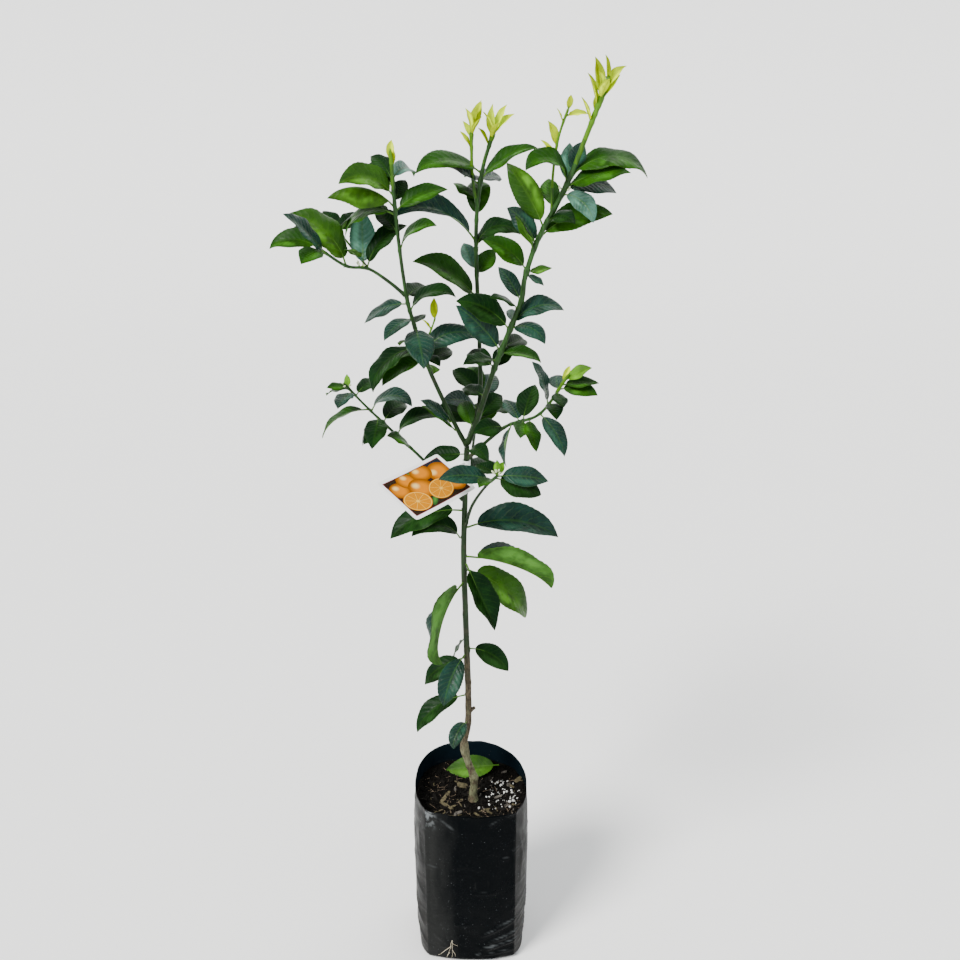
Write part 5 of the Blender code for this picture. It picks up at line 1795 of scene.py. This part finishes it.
def add_limb(cage, path, first, end, blank, depth, trunk):
    """The trunk or a bough, with its bark."""
    scars = SCARS if trunk else ()

    def centre_line(share):
        place = path.smooth_at(first + (end - first) * share)
        if trunk and share == 0:
            return place.point, Vector((0, 0, 1))
        return place.point, place.run

    def radius_at(share, turn):
        mm = first + (end - first) * share
        radius = path.radius(mm)
        if trunk:
            radius += bark_relief(turn, mm, depth) * min(1.0, 0.15 + mm / 20)
        else:
            radius *= 1 + 0.45 * math.exp(-mm / 7)
            radius += bumps(math.cos(turn), math.sin(turn), mm * 0.05) * depth * 0.2
        for scar, way, size in scars:
            aside = math.remainder(turn - math.radians(way), math.tau)
            near = ((mm - scar) / 3.4) ** 2 + (aside / 0.6) ** 2
            radius += size * 0.45 * MM * math.exp(-near)
        return radius

    add_rod(cage, blank, centre_line, radius_at)


def soften_forks(cage):
    """Smooths the skin where a bough leaves the trunk or another bough."""
    forks = [paths()[shoot].at(4) for _, shoot, _, _ in LIMBS[1:]]
    forks.append(paths()["trunk"].at(STUB_PLACE))
    for place in forks:
        near = [point for point in cage.verts if (point.co - place.point).length < FORK_REACH]
        for _ in range(4):
            bmesh.ops.smooth_vert(cage, verts=near, factor=0.45, use_axis_x=True, use_axis_y=True,
                                  use_axis_z=True)


class MANDARIN_OT_trunk(bpy.types.Operator):
    """Build the trunk and boughs as one skin with the bark's relief"""

    bl_idname = "mandarin.build_trunk"
    bl_label = "Trunk and Boughs"

    def execute(self, context):
        depth = settings().bark.relief
        parts = []
        for name, shoot, start, end in LIMBS:
            path = paths()[shoot]
            end = path.length if end is None else end
            trunk = name == "trunk"
            first = 0 if trunk else first_mm(path)
            cage = bmesh.new()
            rings = int((end - first) / (1.3 if trunk else 1.8))
            add_limb(cage, path, first, end, rod_blank(28 if trunk else 18, rings), depth, trunk)
            parts.append(plain_object(name, cage))
        cage = bmesh.new()
        place = paths()["trunk"].at(STUB_PLACE)
        lean = STUB_RUN.normalized()

        def stub_radius(share, turn):
            return STUB_RADIUS * (1.25 - 0.3 * share + 0.12 * math.sin(3 * turn + 9 * share))

        add_rod(cage, rod_blank(14, 12), lambda share: (place.point + lean * STUB_LENGTH * share, lean),
                stub_radius)
        parts.append(plain_object("stub", cage))
        base = parts[0]
        for part in parts[1:]:
            union = base.modifiers.new(part.name, "BOOLEAN")
            union.operation = "UNION"
            union.solver = "EXACT"
            union.object = part
        mesh = bpy.data.meshes.new_from_object(base.evaluated_get(context.evaluated_depsgraph_get()))
        for part in parts:
            bpy.data.objects.remove(part, do_unlink=True)
        cage = bmesh.new()
        cage.from_mesh(mesh)
        if len(cage.faces) < LEAST_BARK_FACES:
            raise RuntimeError("the trunk and its boughs did not join")
        soften_forks(cage)
        look = settings()
        bark = bark_material(plain(look.bark.pale), plain(look.bark.brown), plain(look.leaf.green_wood),
                             look.bark.green_height)
        finish_piece("bark_skin", cage, (bark,), [limb[0] for limb in LIMBS], 60)
        return {"FINISHED"}


def add_twig(cage, path, start, end):
    """A twig with a swelling at each leaf."""
    end = path.length if end is None else end + 2
    nodes = [row[0] for row in LEAVES[path.name]]
    young = YOUNG_FROM.get(path.name, math.inf)
    span = end - start
    tip = end > path.length - 1

    def centre_line(share):
        place = path.smooth_at(start + span * share)
        return place.point, place.run

    def radius_at(share, turn):
        mm = start + span * share
        radius = path.radius(mm) * (1 + 0.05 * math.cos(3 * turn + mm * 0.06))
        radius *= 1 + sum(0.22 * math.exp(-(((mm - place) / 2.4) ** 2)) for place in nodes)
        if tip:
            radius *= min(1.0, 0.25 + (end - mm) / 5)
        return radius

    add_rod(cage, rod_blank(9, max(6, int(span / 2))), centre_line, radius_at,
            lambda share: 0 if start + span * share < young - 16 else
            2 if start + span * share < young + 10 else 1)


def add_side_bud(cage, grown):
    """The bud above a leaf's foot."""
    root = grown.root
    out = square_to(grown.leaf.foot - root.point, root.run)
    above = root._replace(point=root.point + root.run * 1.7 * MM)
    add_bud(cage, above, out, 1.15 * MM, 1 if grown.tone in (LIME, PALE) else 0)


def add_flower_buds(stem):
    """Clusters of flower buds on short stalks."""
    draw = random.Random("flower buds")
    cage = bmesh.new()
    for shoot, mm, count in FLOWER_BUDS:
        place = paths()[shoot].at(mm)
        for _ in range(count):
            out = Vector([draw.uniform(*span) for span in ((-1, 1), (-1, 0.4), (0.1, 1))]).normalized()
            reach = draw.uniform(3.5, 7.5) * MM
            size = draw.uniform(1.3, 2.1) * MM
            add_rod(cage, rod_blank(6, 5), lambda share, out=out, reach=reach: (
                place.point + out * (reach * share), out), lambda share, turn: 0.5 * MM, lambda _: 1)
            end = Place(place.point + out * reach, out, 0.0)
            add_bud(cage, end, out, size, 0)
    white = earth_material("flower bud", (0.5, 0.62, 0.3), (0.78, 0.82, 0.6), 0.5, 600)
    finish_piece("flower_buds", cage, (white, stem), (), 60)


class MANDARIN_OT_twigs(bpy.types.Operator):
    """Build each mass's twigs, with swollen nodes, small buds and flower buds"""

    bl_idname = "mandarin.build_twigs"
    bl_label = "Twigs and Buds"

    def execute(self, context):
        look = settings().leaf
        green, young = plain(look.green_wood), plain(look.young_wood)
        stems = (stem_material("green wood", scaled(green, 1.2), scaled(green, 3.6)),
                 stem_material("young wood", scaled(young, 0.8), scaled(young, 1.25)),
                 stem_material("turning wood", scaled(green, 2.5), scaled(young, 0.8)))
        single, leaves = grown_plant()
        cage = bmesh.new()
        for name, stretches in MASSES:
            for k, (shoot, start, end) in enumerate(stretches):
                add_twig(cage, paths()[shoot], start - 2 if k == 0 else start, end)
            for grown in leaves[name]:
                add_side_bud(cage, grown)
        for grown in single:
            add_side_bud(cage, grown)
        finish_piece("twigs", cage, stems, (), 70)
        add_flower_buds(stems[1])
        return {"FINISHED"}


def add_leaves(name, grown_leaves, replaced):
    """One piece of leaves, with materials for its greens."""
    cage = bmesh.new()
    cage.loops.layers.uv.new("leaf")
    materials, firsts = [], {}
    for grown in grown_leaves:
        if grown.tone not in firsts:
            firsts[grown.tone] = len(materials)
            materials += leaf_materials(grown.tone)
        add_leaf(cage, grown, firsts[grown.tone], grown.tone == LIME)
    finish_piece(name, cage, materials, replaced, 70)


class MANDARIN_OT_leaves(bpy.types.Operator):
    """Build the leaves, a piece for each mass and one for those that stand on trunk and boughs"""

    bl_idname = "mandarin.build_leaves"
    bl_label = "Leaves"

    def execute(self, context):
        single, leaves = grown_plant()
        names = sorted(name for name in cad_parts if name.startswith("stem_leaf"))
        add_leaves("stem_leaves", single, names)
        for name, _ in MASSES:
            add_leaves(name.replace("foliage", "leaves"), leaves[name], (name,))
        return {"FINISHED"}


class MANDARIN_OT_dropped_leaf(bpy.types.Operator):
    """Build the leaf that lies on the potting mix"""

    bl_idname = "mandarin.build_dropped_leaf"
    bl_label = "Dropped Leaf"

    def execute(self, context):
        turn, rise, length, droop = DROPPED_LEAF
        leaf = Leaf(DROPPED_LEAF_FOOT, turn, rise, length * MM, droop, DROPPED_LEAF_LEAN,
                    blade_wide(length * MM), LEAF_FOLD / 2, 0)
        cage = leaf_cage(leaf)
        low = min(point.co.z for point in cage.verts)
        cage.free()
        leaf = leaf._replace(foot=leaf.foot + Vector((0, 0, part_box("dropped_leaf")[0].z - low + 0.8 * MM)))
        root = Place(leaf.foot + heading(turn, 0) * 2 * MM, Vector((0, 0, 1)), 0.5 * MM)
        look = settings().leaf
        # Its green is the sunlit green a little darker, and leaf_material paints shade on its far half and a
        # pale gleam on its near half
        fresh = scaled(plain(look.bright), 0.85)
        rib = scaled(plain(look.bright), 1.4)
        materials = (leaf_material("fresh leaf", fresh, scaled(plain(look.rib), 0.75), 0.35, 0.45, 0.08),
                     leaf_material("fresh underside", scaled(fresh, 1.1), rib, 0.5, 0.5, 0.0),
                     stem_material("fresh rib", scaled(rib, 0.8), rib))
        cage = bmesh.new()
        cage.loops.layers.uv.new("leaf")
        add_leaf(cage, Grown(leaf, root, PAINTED_SUNLIGHT_GREEN, "dropped"), 0)
        finish_piece("fallen_leaf", cage, materials, ("dropped_leaf",), 70)
        return {"FINISHED"}


def tag_axes():
    """The tag's long and short edge directions, square to each other, and its face's normal."""
    long_run = TAG_LONG_RUN.normalized()
    short_run = square_to(TAG_SHORT_RUN, long_run)
    return long_run, short_run, long_run.cross(short_run).normalized()


# The tag's fruit: centre, radius, squash and turn, in shares of the card's short side
ROUND_FRUIT = (
    ((0.24, 0.66), 0.2, 0.92, 0.3), ((1.17, 0.66), 0.24, 0.9, -0.5), ((0.5, 0.78), 0.2, 0.9, 0.7),
    ((0.86, 0.8), 0.22, 0.86, 0.1), ((0.62, 0.52), 0.25, 0.92, 0.2), ((1.24, 0.3), 0.19, 0.9, 0.6),
)
CUT_FRUIT = (((0.34, 0.32), 0.27, 0.84, 0.25), ((0.92, 0.34), 0.27, 0.8, -0.3))
TAG_LEAVES = (((0.68, 0.86), 0.16, 0.34, 0.4), ((0.64, 0.2), 0.15, 0.36, -0.7))
SEGMENTS = 9
LIT_PEEL = (0.64, 0.2, 0.0)
PEEL_SHINE = (0.95, 0.72, 0.25)


def new_card():
    """The card: a thin plate with rounded corners and a slight bow, its face mapped for the print."""
    long_run, short_run, normal = tag_axes()
    cage = new_plate(24, 16)
    layer = cage.loops.layers.uv.new("leaf")
    for face in cage.faces:
        toward = face.calc_center_median().z
        face.material_index = 0 if abs(toward) > 0.9 and normal.y * toward < 0 else 1
        for loop in face.loops:
            loop[layer].uv = ((loop.vert.co.x + 1) / 2 * TAG_ASPECT, (1 - loop.vert.co.y) / 2)
    for point in cage.verts:
        u, v, w = point.co
        x, y = u * TAG_LONG / 2, v * TAG_SHORT / 2
        inner = Vector((max(abs(x) - (TAG_LONG / 2 - TAG_CORNER), 0),
                        max(abs(y) - (TAG_SHORT / 2 - TAG_CORNER), 0)))
        if inner.length > TAG_CORNER:
            pull = inner.length - TAG_CORNER
            x -= math.copysign(inner.x / inner.length * pull, x)
            y -= math.copysign(inner.y / inner.length * pull, y)
        bow = 1.4 * MM * (1 - u * u)
        high = w * TAG_THICK / 2 + bow - 0.7 * MM
        point.co = TAG_CENTRE + long_run * x + short_run * y + normal * high
    return cage


def add_loop(cage, place, reach):
    """The loop round the trunk: a short band of plastic."""
    a, b = frame_round(place.run)
    points, faces = add_blank(cage, rod_blank(32, 4))
    for face in faces:
        face.material_index = 1
    caps = [face for face in faces if len(face.verts) > 4]
    bmesh.ops.delete(cage, geom=caps, context="FACES_ONLY")
    for point in points:
        turn = math.atan2(point.co.y, point.co.x)
        rise = (point.co.z - 0.5) * TAG_LOOP_TALL
        point.co = place.point + (a * math.cos(turn) + b * math.sin(turn)) * reach + place.run * rise
    sides = [face for face in faces if face.is_valid]
    for point in new_points(bmesh.ops.extrude_face_region(cage, geom=sides, use_keep_orig=True)):
        point.co += square_to(point.co - place.point, place.run) * 0.6 * MM


def add_strap(cage, place, reach, long_run, short_run):
    """The strap from the loop to the card, turning flat on its way."""
    end = TAG_CENTRE + long_run * (TAG_LONG / 2 - 6 * MM)
    start = place.point + square_to(end - place.point, place.run) * (reach + 0.3 * MM)
    fresh = bmesh.ops.create_grid(cage, x_segments=4, y_segments=24, size=1)["verts"]
    faces = list({face for point in fresh for face in point.link_faces})
    upper = set(new_points(bmesh.ops.extrude_face_region(cage, geom=faces, use_keep_orig=True)))
    for point in [*fresh, *upper]:
        share = (point.co.y + 1) / 2
        wide = (-place.run).slerp(short_run, share).normalized()
        flat = wide.cross(end - start).normalized()
        side = 1 if point in upper else -1
        across = point.co.x * TAG_STRAP_WIDE / 2
        point.co = start.lerp(end, share) + wide * across + flat * side * 0.3 * MM
        for face in point.link_faces:
            face.material_index = 1


def print_material(look):
    """A fruit print: round and cut fruit with leaves inside a thin frame line and a white border."""
    material, shader, _, own = new_material("tag print", 0.4, 0.02)
    parts = node("SeparateXYZ", {0: own})
    speckle = node("TexNoise", {"Vector": own, "Scale": 60.0, "Detail": 3.0})[0]
    base = tint(fade(parts[0] + parts[1], 1.9, 2.0), plain(look.night), plain(look.blue))
    base = tint(fade(speckle, 0.45, 0.7, 0, 0.4), base, (0.05, 0.09, 0.03))
    for centre, radius, squash, turn in TAG_LEAVES:
        leaf = fruit_at(own, centre, radius, squash, turn)
        reach = fade(leaf["Reach"], 0.0, 1.0)
        green = tint(reach, (0.06, 0.2, 0.03), (0.02, 0.07, 0.015))
        base = tint(leaf["Inside"], base, green)
    peel = plain(look.peel)
    for centre, radius, squash, turn in ROUND_FRUIT:
        fruit = fruit_at(own, centre, radius, squash, turn)
        reach = fade(fruit["Reach"], 0.35, 1.0)
        skin = tint(reach, LIT_PEEL, scaled(peel, 0.4))
        skin = tint(fade(speckle, 0.5, 0.72, 0, 0.35), skin, scaled(peel, 0.8))
        skin = tint(fruit["Shine"] * 0.75, skin, PEEL_SHINE)
        base = tint(fruit["Inside"], base, skin)
    pith, flesh = plain(look.pith), plain(look.flesh)
    for centre, radius, squash, turn in CUT_FRUIT:
        fruit = fruit_at(own, centre, radius, squash, turn)
        reach = fruit["Reach"]
        spokes = abs(calc("SINE", fruit["Angle"] * (SEGMENTS / 2))) * reach
        pulp = tint(fade(speckle, 0.35, 0.7), flesh, scaled(flesh, 0.72))
        wedge = tint(fade(spokes, 0.035, 0.09), pith, pulp)
        wedge = tint(fade(reach, 0.16, 0.08), wedge, pith)
        wedge = tint(fade(reach, 0.86, 0.89), wedge, pith)
        wedge = tint(fade(reach, 0.92, 0.95), wedge, peel)
        base = tint(fruit["Inside"], base, wedge)
    edge = edge_reach(parts)
    base = tint(fade(edge, 0.083, 0.078), base, plain(look.line))
    base = tint(fade(edge, 0.068, 0.063), base, plain(look.card))
    feed(shader, "Base Color", base)
    feed(shader, "Roughness", fade(speckle, 0.3, 0.7, 0.22, 0.34))
    return material


def fruit_at(own, centre, radius, squash, turn):
    """The fruit group placed on the card."""
    return node("Group", {"Place": own, "Centre": (*centre, 0), "Radius": radius, "Squash": squash,
                          "Turn": turn}, node_tree=fruit_group())


def edge_reach(parts):
    """How far a point of the card lies from its nearest edge, over the short side."""
    x = calc("MINIMUM", parts[0], TAG_ASPECT - parts[0])
    y = calc("MINIMUM", parts[1], 1.0 - parts[1])
    return calc("MINIMUM", x, y)


class MANDARIN_OT_tag(bpy.types.Operator):
    """Build the printed tag with its strap and its loop round the trunk"""

    bl_idname = "mandarin.build_tag"
    bl_label = "Tag"

    def execute(self, context):
        cage = new_card()
        long_run, short_run, _ = tag_axes()
        trunk = paths()["trunk"]
        mm = next(mm for mm in range(int(trunk.length))
                  if trunk.at(mm).point.z > TAG_LOOP_HEIGHT + MIX_HEIGHT)
        place = trunk.at(mm)
        reach = place.radius + TAG_LOOP_SLACK
        add_loop(cage, place, reach)
        add_strap(cage, place, reach, long_run, short_run)
        bmesh.ops.recalc_face_normals(cage, faces=cage.faces)
        look = settings().tag
        card = earth_material("tag plastic", scaled(plain(look.card), 0.94), plain(look.card), 0.35, 200)
        finish_piece("printed_tag", cage, (print_material(look), card), ("plant_tag",), 40)
        return {"FINISHED"}


CAMERA_PLACE = Vector((12.7, -1135, 1211)) * MM
STAGE_HALF = 9
STAGE_SHIFT = -3
STAGE_WALL = 6
STAGE_BEND = 2.5


class MANDARIN_OT_stage(bpy.types.Operator):
    """Build the floor, the camera and the soft lights"""

    bl_idname = "mandarin.build_stage"
    bl_label = "Stage"

    def execute(self, context):
        look = settings().stage
        cage = bmesh.new()
        bmesh.ops.create_grid(cage, x_segments=1, y_segments=1, size=STAGE_HALF)
        for point in cage.verts:
            point.co.y += STAGE_SHIFT
        back = [edge for edge in cage.edges if min(point.co.y for point in edge.verts) > 0]
        for point in new_points(bmesh.ops.extrude_edge_only(cage, edges=back)):
            point.co.z = STAGE_WALL
        bmesh.ops.bevel(cage, geom=back, offset=STAGE_BEND, offset_type="OFFSET", affect="EDGES",
                        segments=24, profile=0.5, material=-1)
        mesh = mesh_of("floor", cage)
        material, shader, place, _ = new_material("floor", 0.75, 0.2)
        tone = plain(look.floor)
        feed(shader, "Base Color", tint(grain(place, 3, 2), scaled(tone, 0.985), tone))
        mesh.materials.append(material)
        mesh.shade_smooth()
        floor = add_object("floor", mesh)
        view = bpy.data.cameras.new("view")
        view.sensor_width = 36
        view.lens = look.lens
        camera = add_object("view", view)
        camera.location = CAMERA_PLACE
        camera.rotation_euler = Euler((math.pi / 2 - look.pitch, 0, 0))
        context.scene.camera = camera
        for name, way, power, spread, tone in (
                ("key", (-0.55, -0.5, 0.75), look.key, 22, (1.0, 0.985, 0.95)),
                ("fill", (0.7, -0.6, 0.4), look.fill, 70, (0.93, 0.97, 1.0)),
                ("rim", (0.45, 0.6, 0.75), look.rim, 50, (1.0, 0.99, 0.96))):
            lamp = bpy.data.lights.new(name, "SUN")
            lamp.energy = power
            lamp.angle = math.radians(spread)
            lamp.color = tone
            add_object(name, lamp).rotation_euler = Vector(way).to_track_quat("Z", "Y").to_euler()
        world = bpy.data.worlds.new("soft sky")
        world.use_nodes = True
        back = world.node_tree.nodes["Background"]
        back.inputs["Color"].default_value = (0.93, 0.97, 1.0, 1)
        back.inputs["Strength"].default_value = 0.6
        context.scene.world = world
        return {"FINISHED"}


class MandarinSettings(bpy.types.PropertyGroup):
    """All the sizes and colours of the tree and its bag."""

    leaf: PointerProperty(type=LeafSettings)
    bark: PointerProperty(type=BarkSettings)
    bag: PointerProperty(type=BagSettings)
    mix: PointerProperty(type=MixSettings)
    tag: PointerProperty(type=TagSettings)
    stage: PointerProperty(type=StageSettings)


OPERATORS = (MANDARIN_OT_stage, MANDARIN_OT_bag, MANDARIN_OT_mix, MANDARIN_OT_trunk, MANDARIN_OT_twigs,
             MANDARIN_OT_leaves, MANDARIN_OT_dropped_leaf, MANDARIN_OT_tag)


class MANDARIN_PT_panel(bpy.types.Panel):
    """The tree's operators and settings in the 3D view's sidebar"""

    bl_idname = "MANDARIN_PT_panel"
    bl_label = "Potted Mandarin Tree"
    bl_space_type = "VIEW_3D"
    bl_region_type = "UI"
    bl_category = "Mandarin"

    def draw(self, context):
        for operator in OPERATORS:
            self.layout.operator(operator.bl_idname)
        for label in ("leaf", "bark", "bag", "mix", "tag", "stage"):
            group = getattr(context.scene.mandarin, label)
            box = self.layout.box()
            box.label(text=label.title())
            for name in type(group).__annotations__:
                box.prop(group, name)


CLASSES = (LeafSettings, BarkSettings, BagSettings, MixSettings, TagSettings, StageSettings,
           MandarinSettings, *OPERATORS, MANDARIN_PT_panel)


def register():
    for kind in CLASSES:
        bpy.utils.register_class(kind)
    bpy.types.Scene.mandarin = PointerProperty(type=MandarinSettings)


def unregister():
    del bpy.types.Scene.mandarin
    for kind in reversed(CLASSES):
        bpy.utils.unregister_class(kind)


def main():
    register()
    bpy.ops.mandarin.build_stage()
    bpy.ops.mandarin.build_bag()
    bpy.ops.mandarin.build_mix()
    bpy.ops.mandarin.build_trunk()
    bpy.ops.mandarin.build_twigs()
    bpy.ops.mandarin.build_leaves()
    bpy.ops.mandarin.build_dropped_leaf()
    bpy.ops.mandarin.build_tag()


if __name__ == "__main__":
    main()
